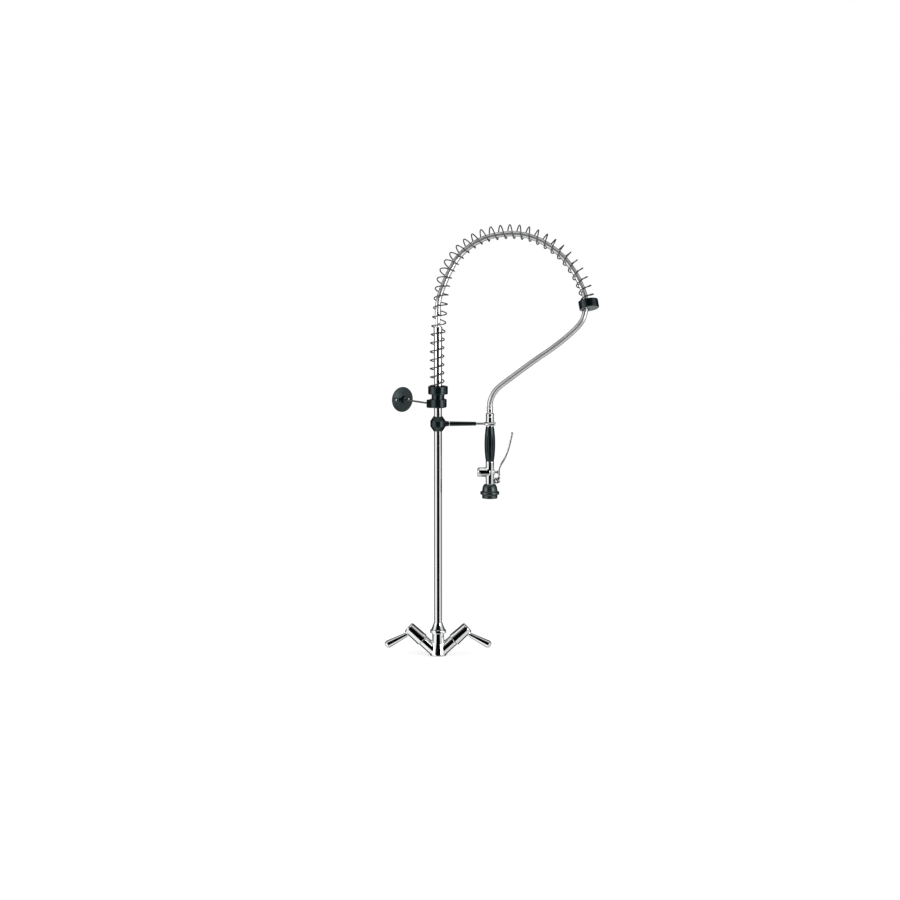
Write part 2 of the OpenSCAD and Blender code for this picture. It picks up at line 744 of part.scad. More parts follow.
module riser_tube() color(chrome) turned([
    [tube_bore_d / 2, socket_z], [tube_r, socket_z], [tube_r, boss_top], [tube_collar_d / 2, boss_top],
    [tube_collar_d / 2, boss_top + tube_collar_h], [tube_r, boss_top + tube_collar_h], [tube_r, tube_top],
    [thread_d / 2, tube_top], [thread_d / 2, thread_top], [tube_bore_d / 2, thread_top]
]);

module union_nut() color(chrome) {
    groove_z = (tube_top + tail_flange_z) / 2;
    flange_top = tail_flange_z + tail_flange_t;
    top = flange_top + union_lip_h;
    r = union_d / 2;
    turned([
        [thread_d / 2 + fit, tube_top], [r - 0.7, tube_top], [r, tube_top + 0.7],
        [r, groove_z - 1], [r - 0.7, groove_z - 0.5], [r - 0.7, groove_z + 0.5], [r, groove_z + 1],
        [r, top - 1.5], [r - 1.5, top], [tail_d / 2 + fit, top], [tail_d / 2 + fit, flange_top],
        [thread_d / 2 + fit, flange_top]
    ]);
}

module union_washer() color(black_rubber)
    ring(thread_d, tail_bore_d, thread_top, tail_flange_z);

module hose_tail() color(chrome) turned([
    [tail_bore_d / 2, tail_flange_z], [thread_d / 2, tail_flange_z],
    [thread_d / 2, tail_flange_z + tail_flange_t], [tail_d / 2, tail_flange_z + tail_flange_t],
    [tail_d / 2, hose_top_z], [tail_bore_d / 2, hose_top_z]
]);

// A crimped ferrule: +Z points along the hose, whose end is at the origin.
module ferrule(neck_d) color(chrome) {
    r = hose_d / 2 + fit;
    lip = 1.8;
    turned([
        [neck_d / 2 + fit, -lip], [r + ferrule_wall - 0.5, -lip], [r + ferrule_wall, -lip + 0.5],
        [r + ferrule_wall, ferrule_h * 0.3], [r + ferrule_wall / 2, ferrule_h * 0.4],
        [r + ferrule_wall / 2, ferrule_h * 0.6], [r + ferrule_wall, ferrule_h * 0.7],
        [r + ferrule_wall, ferrule_h - 0.5], [r + ferrule_wall / 2, ferrule_h], [r, ferrule_h],
        [r, 0], [neck_d / 2 + fit, 0]
    ]);
}

module top_ferrule() translate([0, 0, hose_top_z]) ferrule(tail_d);

// ---- Wall bracket ----

module wall_clamp() color(black_plastic) difference() {
    turned(concat(
        arc(clamp_d / 2 - 3, clamp_z + 3, 3, -90, 0),
        arc(clamp_d / 2 - 1.5, clamp_top - 1.5, 1.5, 0, 90, 3),
        [[tube_r + fit, clamp_top], [tube_r + fit, clamp_z]]));
    on_rod() bore(socket_shank_d + 2 * fit, tube_r, clamp_d);
}

// A square with round corners.
module round_square(w, r) {
    square([w, w - 2 * r], center = true);
    square([w - 2 * r, w], center = true);
    for (x = [-1, 1], y = [-1, 1]) translate([x * (w / 2 - r), y * (w / 2 - r)]) circle(r = r);
}

module rod_socket() color(black_plastic) on_rod() difference() {
    edge = 1;
    union() {
        bore(socket_shank_d, tube_r + 1, socket_u + lead);
        translate([0, 0, socket_u]) linear_extrude(socket_head_h)
            round_square(socket_w - 2 * edge, socket_round - edge / 2);
        translate([0, 0, socket_u + edge]) linear_extrude(socket_head_h - 2 * edge)
            round_square(socket_w, socket_round);
    }
    bore(rod_d + 2 * fit, socket_end - rod_grip, socket_end + lead);
}

module wall_rod() color(steel) on_rod() bore(rod_d, socket_end - rod_grip, boss_front + rod_grip);

module wall_flange() color(black_plastic) on_rod() difference() {
    turned(concat(
        [[0, wall_reach], [flange_d / 2 - 0.5, wall_reach], [flange_d / 2, wall_reach - 0.5]],
        [[flange_d / 2, flange_front + 1], [flange_d / 2 - 1, flange_front],
         [flange_boss_d / 2 + 4, flange_front - 1.5]],
        arc(flange_boss_d / 2 + 2, flange_front - 4.5, 3, 90, 180, 3),
        arc(flange_boss_d / 2 - 3, boss_front + 2, 2, 0, -90, 4),
        [[0, boss_front]]));
    bore(rod_d + 2 * fit, boss_front - lead, boss_front + rod_grip);
    for (y = [-1, 1]) translate([0, y * flange_hole_pitch / 2, 0])
        bore(flange_hole_d, boss_front, wall_reach + lead);
    translate([0, 0, boss_front + 6]) rotate([0, -90, 0]) cylinder(d = 4 + 2 * fit, h = flange_boss_d);
}

module flange_grub_screw() color(steel) on_rod()
    translate([0, 0, boss_front + 6]) rotate([0, -90, 0])
        translate([0, 0, rod_d / 2 + fit]) cylinder(d = 4, h = 4);

// ---- Spring arch ----

module spring_seat() color(black_plastic) turned(concat(
    [[tube_r + fit, seat_z], [tube_r + seat_neck_wall, seat_z],
     [tube_r + seat_neck_wall, seat_z + seat_neck_h]],
    arc(collar_d / 2 - 1.5, seat_z + seat_neck_h + 1.5, 1.5, -90, 0, 3),
    arc(collar_d / 2 - 2, seat_top - 2, 2, 0, 90, 4),
    [[recess_d / 2, seat_top], [recess_d / 2, seat_floor_z], [tube_r + fit, seat_floor_z]]));

arch_points = [for (p = ARCH) p + [0, 0, seat_floor_z]];
arch_start = -ARCH[0][2] / (ARCH[1][2] - ARCH[0][2]);
end_way = [sin(end_tilt) * cos(end_lean), -sin(end_lean), -cos(end_tilt) * cos(end_lean)];
spring_rings = coil_rings(arch_points, arch_start, len(ARCH) - 1, [0, 0, 1], end_way,
    coil_d / 2, wire_d, coils_per_span, coil_phase);
echo(spring_least_gap_mm = least_gap(spring_rings, wire_d));

module spring() color(steel) swept(spring_rings, wire_d / 2, wire_sides);

module end_collar() color(black_plastic) on_end() difference() {
    turned(concat(
        arc(collar_d / 2 - 2, -end_floor_h + 2, 2, -90, 0, 4),
        arc(collar_d / 2 - 2, recess_h - 2, 2, 0, 90, 4),
        [[recess_d / 2, recess_h], [recess_d / 2, 0], [0, 0], [0, -end_floor_h]]));
    translate(hose_hole) bore(hose_d + 2 * hose_hole_gap, -end_floor_h - lead, lead);
}

module hose() color(hose_grey) {
    points = [for (p = HOSE) p + [0, 0, seat_floor_z]];
    steps = (len(points) - 1) * rings_per_point;
    swept([for (i = [0:steps]) [along(points, i / rings_per_point), [0, 1, 0]]], hose_d / 2, hose_sides);
}

// ---- Spray holder ----

module holder_clamp() color(black_plastic) {
    half = ball_band_h / 2;
    end_r = tube_r + ball_end_wall;
    difference() {
        union() {
            translate([0, 0, fork_z]) turned(concat(
                [[0, -ball_h / 2], [end_r, -ball_h / 2]],
                arc(ball_d / 2 - 2, -half + 2, 2, -45, 0, 2),
                arc(ball_d / 2 - 2, half - 2, 2, 0, 45, 2),
                [[end_r, ball_h / 2], [0, ball_h / 2]]));
            translate([0, 0, fork_z]) rotate([0, 90, 0])
                cylinder(d1 = nose_d + 6, d2 = nose_d, h = nose_end);
        }
        bore(tube_d + 2 * fit, fork_z - ball_h, fork_z + ball_h);
        translate([0, 0, fork_z]) rotate([0, 90, 0])
            bore(fork_d + 2 * fit, rod_start - rest_gap, rod_start + nose_end);
        translate([0, tube_r, fork_z]) rotate([-90, 0, 0]) cylinder(d = set_screw_d + 2 * fit, h = ball_d);
    }
}

module holder_set_screw() color(steel) translate([0, tube_r + fit, fork_z]) rotate([-90, 0, 0])
    difference() {
        cylinder(d = set_screw_d, h = set_screw_h);
        translate([0, 0, set_screw_h - 3]) cylinder(d = set_screw_d / 2, h = 4, $fn = 6);
    }

module holder_sleeve() color(black_plastic) translate([0, 0, fork_z]) rotate([0, 90, 0]) difference() {
    translate([0, 0, sleeve_start])
        cylinder(d1 = sleeve_root_d, d2 = sleeve_end_d, h = sleeve_end - sleeve_start);
    bore(fork_d + 2 * fit, sleeve_start - lead, sleeve_end + lead);
}

module holder_fork() color(chrome) translate([0, 0, fork_z]) {
    translate([rod_start, 0, 0]) rotate([0, 90, 0]) cylinder(d = fork_d, h = gun_x - fork_ring_r - rod_start);
    translate([gun_x, 0, 0]) rotate([0, 0, 90]) rotate_extrude(angle = 180)
        translate([fork_ring_r, 0]) circle(d = fork_d);
    for (y = [-1, 1]) translate([gun_x, y * fork_ring_r, 0]) {
        rotate([0, 90, 0]) cylinder(d = fork_d, h = prong_h);
        translate([prong_h, 0, 0]) sphere(d = fork_d);
    }
}

// ---- Gun handle ----

module gun_ferrule() on_gun() translate([0, 0, hose_end_z]) ferrule(tail_d);

module swivel_cap() color(chrome) on_gun() {
    r = swivel_d / 2;
    turned([
        [tail_bore_d / 2, spigot_foot], [sleeve_thread_d / 2 - 0.5, spigot_foot],
        [sleeve_thread_d / 2 - 0.5, spigot_foot + spigot_flange_h],
        [swivel_spigot_d / 2, spigot_foot + spigot_flange_h],
        [swivel_spigot_d / 2, cap_z], [r - 0.6, cap_z], [r, cap_z + 0.6],
        [r, cap_z + swivel_cap_h - 1.2], [r - 1.2, cap_z + swivel_cap_h], [tail_d / 2 + 1, swivel_top - 1],
        [tail_d / 2, swivel_top - 1], [tail_d / 2, hose_end_z], [tail_bore_d / 2, hose_end_z]
    ]);
}

module swivel_washer() color(black_rubber) on_gun()
    ring(sleeve_thread_d - 0.4, handle_bore_d, handle_top, handle_top + 2);

module swivel_sleeve() color(chrome) on_gun() {
    r = swivel_d / 2;
    turned([
        [sleeve_thread_d / 2 + fit, sleeve_z], [r - 0.8, sleeve_z], [r, sleeve_z + 0.8],
        [r, sleeve_top - 0.6], [r - 0.6, sleeve_top], [swivel_spigot_d / 2 + fit, sleeve_top],
        [swivel_spigot_d / 2 + fit, sleeve_top - sleeve_lip_h],
        [sleeve_thread_d / 2 + fit, sleeve_top - sleeve_lip_h]
    ]);
}

module handle_tube() color(chrome) on_gun() turned([
    [handle_bore_d / 2, grip_z - tube_screw_h], [handle_tube_d / 2, grip_z - tube_screw_h],
    [handle_tube_d / 2, neck_z], [gun_neck_d / 2, neck_z], [gun_neck_d / 2, sleeve_z],
    [sleeve_thread_d / 2, sleeve_z], [sleeve_thread_d / 2, handle_top], [handle_bore_d / 2, handle_top]
]);

module grip() color(black_plastic) on_gun() {
    flute_r = grip_mid_d / 2 + flute_d / 2 - flute_depth;
    steps = 10;
    difference() {
        turned(concat(
            [[handle_tube_d / 2 + fit, grip_z]],
            [for (i = [0:steps]) let (t = i / steps)
                [grip_end_d / 2 + (grip_mid_d - grip_end_d) / 2 * pow(sin(180 * t), 0.8),
                 grip_z + grip_h * t]],
            [[handle_tube_d / 2 + fit, grip_top]]));
        for (i = [0:flute_count - 1]) rotate([0, 0, 360 * (i + 0.5) / flute_count])
            translate([flute_r, 0, 0]) bore(flute_d, grip_z - lead, grip_top + lead);
    }
}

// ---- Gun valve ----

module gun_body() color(chrome) {
    lug_x = pin_reach;
    difference() {
        union() {
            on_gun() bore(gun_body_d, gun_body_z, grip_z);
            on_gun() bore(head_thread_d, gun_body_z - head_thread_h, gun_body_z + lead);
            on_valve() bore(side_boss_d, chamber_end, 0);
            on_valve() bore(gland_d + 1.5, 0, gland_face);
            translate([gun_x, 0, gun_body_z + pin_z]) {
                translate([lug_x, 0, 0]) rotate([90, 0, 0]) cylinder(r = lug_r, h = lug_w, center = true);
                translate([0, -lug_w / 2, -lug_r]) cube([lug_x, lug_w, 2 * lug_r]);
            }
        }
        on_gun() bore(handle_tube_d + 2 * fit, grip_z - tube_screw_h, grip_z + lead);
        rod_between([gun_x - 2, 0, grip_z - tube_screw_h + lead],
            [gun_x - gun_chamber_d / 2 - 2, 0, valve_z], passage_d + 1);
        on_gun() bore(passage_d, gun_body_z - head_thread_h - lead, valve_z);
        on_valve() {
            bore(gun_chamber_d, chamber_end - lead, seat_x);
            bore(gun_seat_d, seat_x - lead, stem_wall_x);
            bore(stem_d + 0.4, 0, seal_x + lead);
            bore(gland_bore_d + 2 * fit, seal_x, gland_face + lead);
        }
        translate([gun_x + lug_x, 0, gun_body_z + pin_z]) rotate([90, 0, 0])
            cylinder(d = pin_d + 2 * fit, h = 2 * lug_w, center = true);
    }
}

module side_cap() color(chrome) on_valve() {
    r = side_boss_d / 2;
    turned(concat(
        [[0, chamber_end - side_cap_h]],
        arc(r - 5, chamber_end - side_cap_h + 5, 5, -90, 0),
        [[r, chamber_end], [gun_chamber_d / 2 - fit, chamber_end], [gun_chamber_d / 2 - fit, spring_floor_x],
         [0, spring_floor_x]]));
}

valve_rings = coil_rings([[0, 0, spring_floor_x], [0, 0, poppet_x]], 0, 1, [0, 0, 1], [0, 0, 1],
    valve_coil_d / 2, valve_wire_d, valve_coils, 0);
echo(valve_spring_least_gap_mm = least_gap(valve_rings, valve_wire_d));

module valve_spring() color(steel) on_valve() swept(valve_rings, valve_wire_d / 2, wire_sides);

module valve_stem() color(steel) on_valve() turned([
    [0, poppet_x], [gun_washer_d / 2 + 0.5, poppet_x], [gun_washer_d / 2 + 0.5, washer_x],
    [stem_d / 2, washer_x], [stem_d / 2, stem_end - button_h], [button_d / 2, stem_end - button_h],
    [button_d / 2, stem_end - 1], [button_d / 2 - 1, stem_end], [0, stem_end]
]);

module valve_washer() color(black_rubber) on_valve()
    ring(gun_washer_d, stem_d + 2 * fit, washer_x, seat_x);

module stem_seal() color(black_rubber) on_valve()
    ring(gland_bore_d, stem_d + 2 * fit, seal_x, seal_x + seal_t);

// The gland's head is a cup, so that the button can sink into it.
module stem_gland() color(chrome) on_valve() turned([
    [stem_d / 2 + fit, seal_x + seal_t], [gland_bore_d / 2, seal_x + seal_t],
    [gland_bore_d / 2, gland_face], [gland_d / 2, gland_face], [gland_d / 2, gland_end - 0.5],
    [gland_d / 2 - 0.5, gland_end], [button_d / 2 + rest_gap, gland_end],
    [button_d / 2 + rest_gap, gland_face + 0.4], [stem_d / 2 + fit, gland_face + 0.4]
]);

// ---- Squeeze lever ----

// A curved strip of constant thickness round a list of points.
function strip(points, thickness) =
    let (count = (len(points) - 1) * steps_per_span,
         middle = [for (i = [0:count]) along(points, i / steps_per_span)],
         across = [for (i = [0:count])
            let (d = direction(points, i / steps_per_span)) [d[1], -d[0]] * thickness / 2])
    concat([for (i = [0:count]) middle[i] + across[i]], [for (i = [count:-1:0]) middle[i] - across[i]]);

module squeeze_lever() color(chrome) translate([gun_x, 0, gun_body_z]) rotate([90, 0, 0]) {
    outer_w = lug_w + 2 * (rest_gap + cheek_t);
    slot_w = lug_w + 2 * rest_gap;
    root = BLADE[0];
    tip = BLADE[len(BLADE) - 1];
    web_t = blade_t / 2 - 0.1;
    shoulder = BLADE[3][1];
    low = pin_z - lug_r - lead;
    high = tip[1] + tip_r + lead;
    front = [[low, outer_w], [shoulder, outer_w], [tip[1], blade_end_w], [high, blade_end_w - 3]];
    difference() {
        intersection() {
            union() {
                linear_extrude(outer_w, center = true) union() {
                    polygon(strip(BLADE, blade_t));
                    polygon([[pin_reach - 4, pin_z + 5], [pin_reach + 6, pin_z - 2],
                        [root[0] + web_t, root[1] + 2], [root[0] - web_t, root[1] + 2]]);
                }
                translate([pin_reach, pin_z, 0]) cylinder(r = lug_r - 0.5, h = outer_w, center = true);
                translate([tip[0], tip[1], 0]) cylinder(r = tip_r, h = outer_w, center = true);
            }
            rotate([90, 0, 90]) linear_extrude(tip[0] + lug_r) polygon(concat(
                [for (p = front) [p[0], p[1] / 2]], [for (i = [3:-1:0]) [front[i][0], -front[i][1] / 2]]));
        }
        translate([pin_reach, pin_z, 0]) cylinder(r = lug_r + 1, h = slot_w, center = true);
        translate([pin_reach - lug_r - 8, pin_z - lug_r - 1, -slot_w / 2])
            cube([lug_r + 8, 2 * lug_r + 2, slot_w]);
        translate([pin_reach, pin_z, 0]) cylinder(d = pin_d + 2 * fit, h = 2 * outer_w, center = true);
    }
}

module lever_pin() color(steel) translate([gun_x + pin_reach, 0, gun_body_z + pin_z]) rotate([90, 0, 0]) {
    pin_len = lug_w + 2 * (rest_gap + cheek_t) + 1;
    cylinder(d = pin_d, h = pin_len, center = true);
}

// ---- Spray head ----

module spray_housing() color(brass) on_gun() turned([
    [head_thread_d / 2 + fit, gun_body_z], [gun_body_d / 2, gun_body_z], [gun_body_d / 2, gun_body_z - 4],
    [head_r, head_z + skirt_h + rim_h], [head_r, ring_z], [face_r + fit, ring_z],
    [face_r + fit, face_seal_z + face_seal_t], [face_r - 1.5, face_seal_z + face_seal_t],
    [face_r - 1.5, head_z + skirt_h + rim_h - 3],
    [head_thread_d / 2 - 1, gun_body_z - head_thread_h - 2],
    [head_thread_d / 2 + fit, gun_body_z - head_thread_h - rest_gap]
]);

module face_seal() color(black_rubber) on_gun()
    ring(2 * face_r, 2 * face_r - 3, face_seal_z, face_seal_z + face_seal_t);

module spray_face() color(steel) on_gun() difference() {
    bore(2 * face_r, face_z, face_seal_z);
    for (i = [0:jet_count - 1]) rotate([0, 0, 360 * i / jet_count])
        translate([face_r * 0.65, 0, -lead]) bore(jet_d, face_z, face_seal_z + 2 * lead);
    for (i = [0:jet_count / 2 - 1]) rotate([0, 0, 720 * i / jet_count])
        translate([face_r * 0.32, 0, -lead]) bore(jet_d, face_z, face_seal_z + 2 * lead);
}

module face_ring() color(chrome) on_gun() ring(2 * face_r, 2 * face_r - 4, ring_z, face_z);

module bumper() color(black_rubber) on_gun() {
    rim_z = head_z + skirt_h;
    rim_top = rim_z + rim_h;
    rim_r = rim_d / 2;
    skirt_r = skirt_d / 2;
    dome_h = gun_body_z - rim_top;
    turned(concat(
        [[head_r, head_z]],
        arc(skirt_r - 1, head_z + 1, 1, -90, 0, 3),
        [[skirt_r, rim_z - 0.5]],
        arc(rim_r - 3, rim_z + 3, 3, -90, 0, 4),
        arc(rim_r - 3, rim_top - 3, 3, 0, 90, 4),
        [for (i = [0:7]) let (a = 90 * i / 7)
            [head_top_d / 2 + (skirt_r - head_top_d / 2) * cos(a), rim_top + dome_h * sin(a)]],
        [[gun_body_d / 2, gun_body_z], [gun_body_d / 2, gun_body_z - 4], [head_r, rim_top]]));
}

base_body();
base_gasket();
valve_body(-1);  // left_valve_body
valve_body(1);  // right_valve_body
seat_seal(-1);  // left_seat_seal
seat_seal(1);  // right_seat_seal
disc(-1, fixed_disc_u, [-1, 1]);  // left_fixed_disc
disc(1, fixed_disc_u, [-1, 1]);  // right_fixed_disc
disc(-1, moving_disc_u, [1]);  // left_moving_disc
disc(1, moving_disc_u, [1]);  // right_moving_disc
spindle(-1);  // left_spindle
spindle(1);  // right_spindle
hub(-1);  // left_hub
hub(1);  // right_hub
lever(-1);  // left_lever
lever(1);  // right_lever
grub_screw(-1);  // left_grub_screw
grub_screw(1);  // right_grub_screw
column_nut();
column_seal();
riser_tube();
union_nut();
union_washer();
hose_tail();
wall_clamp();
rod_socket();
wall_rod();
wall_flange();
flange_grub_screw();
spring_seat();
spring();
end_collar();
hose();
top_ferrule();
gun_ferrule();
holder_clamp();
holder_set_screw();
holder_sleeve();
holder_fork();
swivel_cap();
swivel_washer();
swivel_sleeve();
handle_tube();
grip();
gun_body();
side_cap();
valve_spring();
valve_stem();
valve_washer();
stem_seal();
stem_gland();
squeeze_lever();
lever_pin();
spray_housing();
face_seal();
spray_face();
face_ring();
bumper();
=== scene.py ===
"""Pre rinse faucet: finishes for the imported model, the hose, the springs and a plain studio."""

import json
import logging
import math
from dataclasses import dataclass
from enum import Enum
from typing import ClassVar, Mapping, Sequence

import bmesh
import bpy
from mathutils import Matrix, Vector

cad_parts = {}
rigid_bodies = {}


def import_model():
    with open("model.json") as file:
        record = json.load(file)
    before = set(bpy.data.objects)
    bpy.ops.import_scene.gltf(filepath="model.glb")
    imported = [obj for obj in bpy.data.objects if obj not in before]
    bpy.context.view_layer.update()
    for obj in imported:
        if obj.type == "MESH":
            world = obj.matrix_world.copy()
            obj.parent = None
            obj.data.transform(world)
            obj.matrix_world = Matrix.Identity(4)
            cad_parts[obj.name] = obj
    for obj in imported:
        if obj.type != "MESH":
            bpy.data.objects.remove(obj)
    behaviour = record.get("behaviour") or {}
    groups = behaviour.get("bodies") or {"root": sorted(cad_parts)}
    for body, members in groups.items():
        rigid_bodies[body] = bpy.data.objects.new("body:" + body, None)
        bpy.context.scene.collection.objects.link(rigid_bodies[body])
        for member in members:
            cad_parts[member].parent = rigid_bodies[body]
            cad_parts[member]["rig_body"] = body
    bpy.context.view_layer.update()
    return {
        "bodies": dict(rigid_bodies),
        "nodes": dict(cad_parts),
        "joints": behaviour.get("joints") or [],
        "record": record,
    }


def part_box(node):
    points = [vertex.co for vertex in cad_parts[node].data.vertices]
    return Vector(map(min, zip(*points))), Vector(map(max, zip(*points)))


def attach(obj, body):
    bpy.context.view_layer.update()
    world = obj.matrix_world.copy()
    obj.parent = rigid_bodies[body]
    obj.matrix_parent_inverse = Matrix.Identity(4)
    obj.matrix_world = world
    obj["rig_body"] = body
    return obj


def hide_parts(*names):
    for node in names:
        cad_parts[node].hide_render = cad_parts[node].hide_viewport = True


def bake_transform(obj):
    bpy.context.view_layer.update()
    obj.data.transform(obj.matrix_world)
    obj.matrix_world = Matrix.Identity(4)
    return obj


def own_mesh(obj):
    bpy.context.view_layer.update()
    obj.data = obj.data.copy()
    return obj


log = logging.getLogger("faucet")

Point = tuple[float, float, float]
Ramp = tuple[float, float, float, float]
Socket = bpy.types.NodeSocket

MM_PER_M = 1000
FULL_TURN = 2 * math.pi


# ---------------------------------------------------------------- node tools


def rgba(colour: object) -> object:
    """Gives a colour of three numbers its alpha, and leaves a socket as it is."""
    return (*colour, 1.0) if isinstance(colour, tuple) and len(colour) == 3 else colour


class Graph:
    """A shader node tree with short calls to add and join nodes."""

    def __init__(self, tree: bpy.types.NodeTree) -> None:
        """Takes over the node tree of a material, a world or a group, and empties it.

        Args:
            tree: The node tree.
        """
        self.tree = tree
        tree.nodes.clear()

    def add(self, kind: str, **settings: object) -> bpy.types.Node:
        """Adds one node.

        Args:
            kind: The node's type, such as "ShaderNodeMath".
            settings: Properties of the node to set.

        Returns:
            The new node.
        """
        node = self.tree.nodes.new(kind)
        for name, value in settings.items():
            setattr(node, name, value)
        return node

    def feed(self, socket: Socket, value: object) -> None:
        """Joins a socket to an output, or sets its value.

        Args:
            socket: The input to fill.
            value: Another node's output socket, a number or a tuple.
        """
        if isinstance(value, Socket):
            self.tree.links.new(value, socket)
        else:
            socket.default_value = value

    def fill(self, node: bpy.types.Node, values: Mapping[str, object]) -> None:
        """Feeds several named inputs of a node.

        Args:
            node: The node.
            values: An output socket, a number or a tuple for each input's name.
        """
        for name, value in values.items():
            self.feed(node.inputs[name], value)

    def math(self, operation: str, *values: object) -> Socket:
        """Adds a Math node.

        Args:
            operation: The Math node's operation.
            values: Up to three inputs, each a number or an output socket.

        Returns:
            Its result.
        """
        node = self.add("ShaderNodeMath", operation=operation)
        for socket, value in zip(node.inputs, values):
            self.feed(socket, value)
        return node.outputs[0]

    def remap(self, value: object, ramp: Ramp) -> Socket:
        """Maps a value from one range to another, with smooth ends.

        Args:
            value: The value to map.
            ramp: Start and end of the old range, and what these become.

        Returns:
            The mapped value.
        """
        node = self.add("ShaderNodeMapRange", interpolation_type="SMOOTHSTEP")
        for socket, number in zip(node.inputs[:5], (value, *ramp)):
            self.feed(socket, number)
        return node.outputs[0]

    def noise(self, where: Socket, scale: float, detail: float = 2.0,
              stretch: Point = (1, 1, 1)) -> Socket:
        """Adds a noise texture.

        Args:
            where: The position that it is read at.
            scale: Waves per metre.
            detail: Octaves of the noise.
            stretch: Scale of the position along X, Y and Z.

        Returns:
            The noise, from 0 to 1.
        """
        place = self.add("ShaderNodeMapping")
        self.fill(place, {"Vector": where, "Scale": stretch})
        node = self.add("ShaderNodeTexNoise")
        self.fill(node, {"Vector": place.outputs[0], "Scale": scale, "Detail": detail})
        return node.outputs["Fac"]

    def mix(self, factor: Socket, first: object, second: object) -> Socket:
        """Mixes two colours.

        Args:
            factor: Share of the second colour.
            first: A colour or an output socket.
            second: A colour or an output socket.

        Returns:
            The mixed colour.
        """
        node = self.add("ShaderNodeMix", data_type="RGBA")
        self.fill(node, {"Factor": factor, "A": rgba(first), "B": rgba(second)})
        return node.outputs["Result"]

    def bump(self, height: Socket, strength: float, distance: float) -> Socket:
        """Turns a height into a normal.

        Args:
            height: The height, from 0 to 1.
            strength: Strength of the bump.
            distance: Depth of the full height, in metres.

        Returns:
            The normal.
        """
        node = self.add("ShaderNodeBump")
        self.fill(node, {"Height": height, "Strength": strength, "Distance": distance})
        return node.outputs["Normal"]

    def close(self, shader: Socket, kind: str = "ShaderNodeOutputMaterial") -> None:
        """Joins the last shader to the tree's output.

        Args:
            shader: The shader's output socket.
            kind: The output node's type.
        """
        self.feed(self.add(kind).inputs["Surface"], shader)


# ------------------------------------------------------- shared shader groups


class ShaderGroup:
    """A shader node group that is built once and placed in each material that uses it.

    Attributes:
        NAME: Name of the group.
        SOCKETS: Name, direction and type of each of its sockets.
    """

    NAME: ClassVar[str]
    SOCKETS: ClassVar[tuple[tuple[str, str, str], ...]]

    @classmethod
    def tree(cls) -> bpy.types.NodeTree:
        """Finds the group, or builds it the first time.

        Returns:
            The group's node tree.
        """
        found = bpy.data.node_groups.get(cls.NAME)
        if found:
            return found
        tree = bpy.data.node_groups.new(cls.NAME, "ShaderNodeTree")
        for name, way, kind in cls.SOCKETS:
            tree.interface.new_socket(name=name, in_out=way, socket_type=kind)
        graph = Graph(tree)
        given = graph.add("NodeGroupInput").outputs
        result = graph.add("NodeGroupOutput").inputs
        cls.wire(graph, given, result)
        return tree

    @classmethod
    def wire(cls, graph: Graph, given: Mapping[str, Socket], result: Mapping[str, Socket]) -> None:
        """Joins what the group is given to what it puts out, as each group says.

        Args:
            graph: The group's node tree.
            given: The sockets that bring the group's inputs.
            result: The sockets that take its outputs.
        """
        raise NotImplementedError


class HandledSurface(ShaderGroup):
    """Smudges, fine grain and faint water marks that every hard finish shares."""

    NAME = "Handled surface"
    SOCKETS = (
        ("Position", "INPUT", "NodeSocketVector"),
        ("Colour", "INPUT", "NodeSocketColor"),
        ("Worn colour", "INPUT", "NodeSocketColor"),
        ("Roughness", "INPUT", "NodeSocketFloat"),
        ("Smudge", "INPUT", "NodeSocketFloat"),
        ("Marks", "INPUT", "NodeSocketFloat"),
        ("Grain", "INPUT", "NodeSocketFloat"),
        ("Colour", "OUTPUT", "NodeSocketColor"),
        ("Roughness", "OUTPUT", "NodeSocketFloat"),
        ("Height", "OUTPUT", "NodeSocketFloat"),
    )

    SMUDGES_PER_M = 26.0
    SMUDGE_EDGE: Ramp = (0.42, 0.68, 0.0, 1.0)
    SMUDGE_TINT = 0.35  # share of the worn colour in a smudge
    DRIPS_PER_M = 160.0
    DRIP_STRETCH: Point = (1.0, 1.0, 0.12)  # drips run down the faucet
    DRIP_EDGE: Ramp = (0.56, 0.70, 0.0, 1.0)
    GRAINS_PER_M = 900.0
    OCTAVES = 3.0

    @classmethod
    def wire(cls, graph: Graph, given: Mapping[str, Socket], result: Mapping[str, Socket]) -> None:
        """Roughens and tints the surface where it is smudged or a drip has dried.

        Args:
            graph: The group's node tree.
            given: The sockets that bring the group's inputs.
            result: The sockets that take its outputs.
        """
        place = given["Position"]
        smudge = graph.remap(graph.noise(place, cls.SMUDGES_PER_M, cls.OCTAVES), cls.SMUDGE_EDGE)
        streak = graph.noise(place, cls.DRIPS_PER_M, cls.OCTAVES, cls.DRIP_STRETCH)
        drips = graph.math("MULTIPLY", graph.remap(streak, cls.DRIP_EDGE), given["Marks"])
        extra = graph.math("MULTIPLY", graph.math("ADD", smudge, drips), given["Smudge"])
        tint = graph.math("ADD", graph.math("MULTIPLY", smudge, cls.SMUDGE_TINT), drips)
        worn = graph.math("MINIMUM", tint, 1.0)
        grain = graph.noise(place, cls.GRAINS_PER_M)
        graph.feed(result["Roughness"], graph.math("ADD", given["Roughness"], extra))
        graph.feed(result["Colour"], graph.mix(worn, given["Colour"], given["Worn colour"]))
        graph.feed(result["Height"], graph.math("MULTIPLY", grain, given["Grain"]))


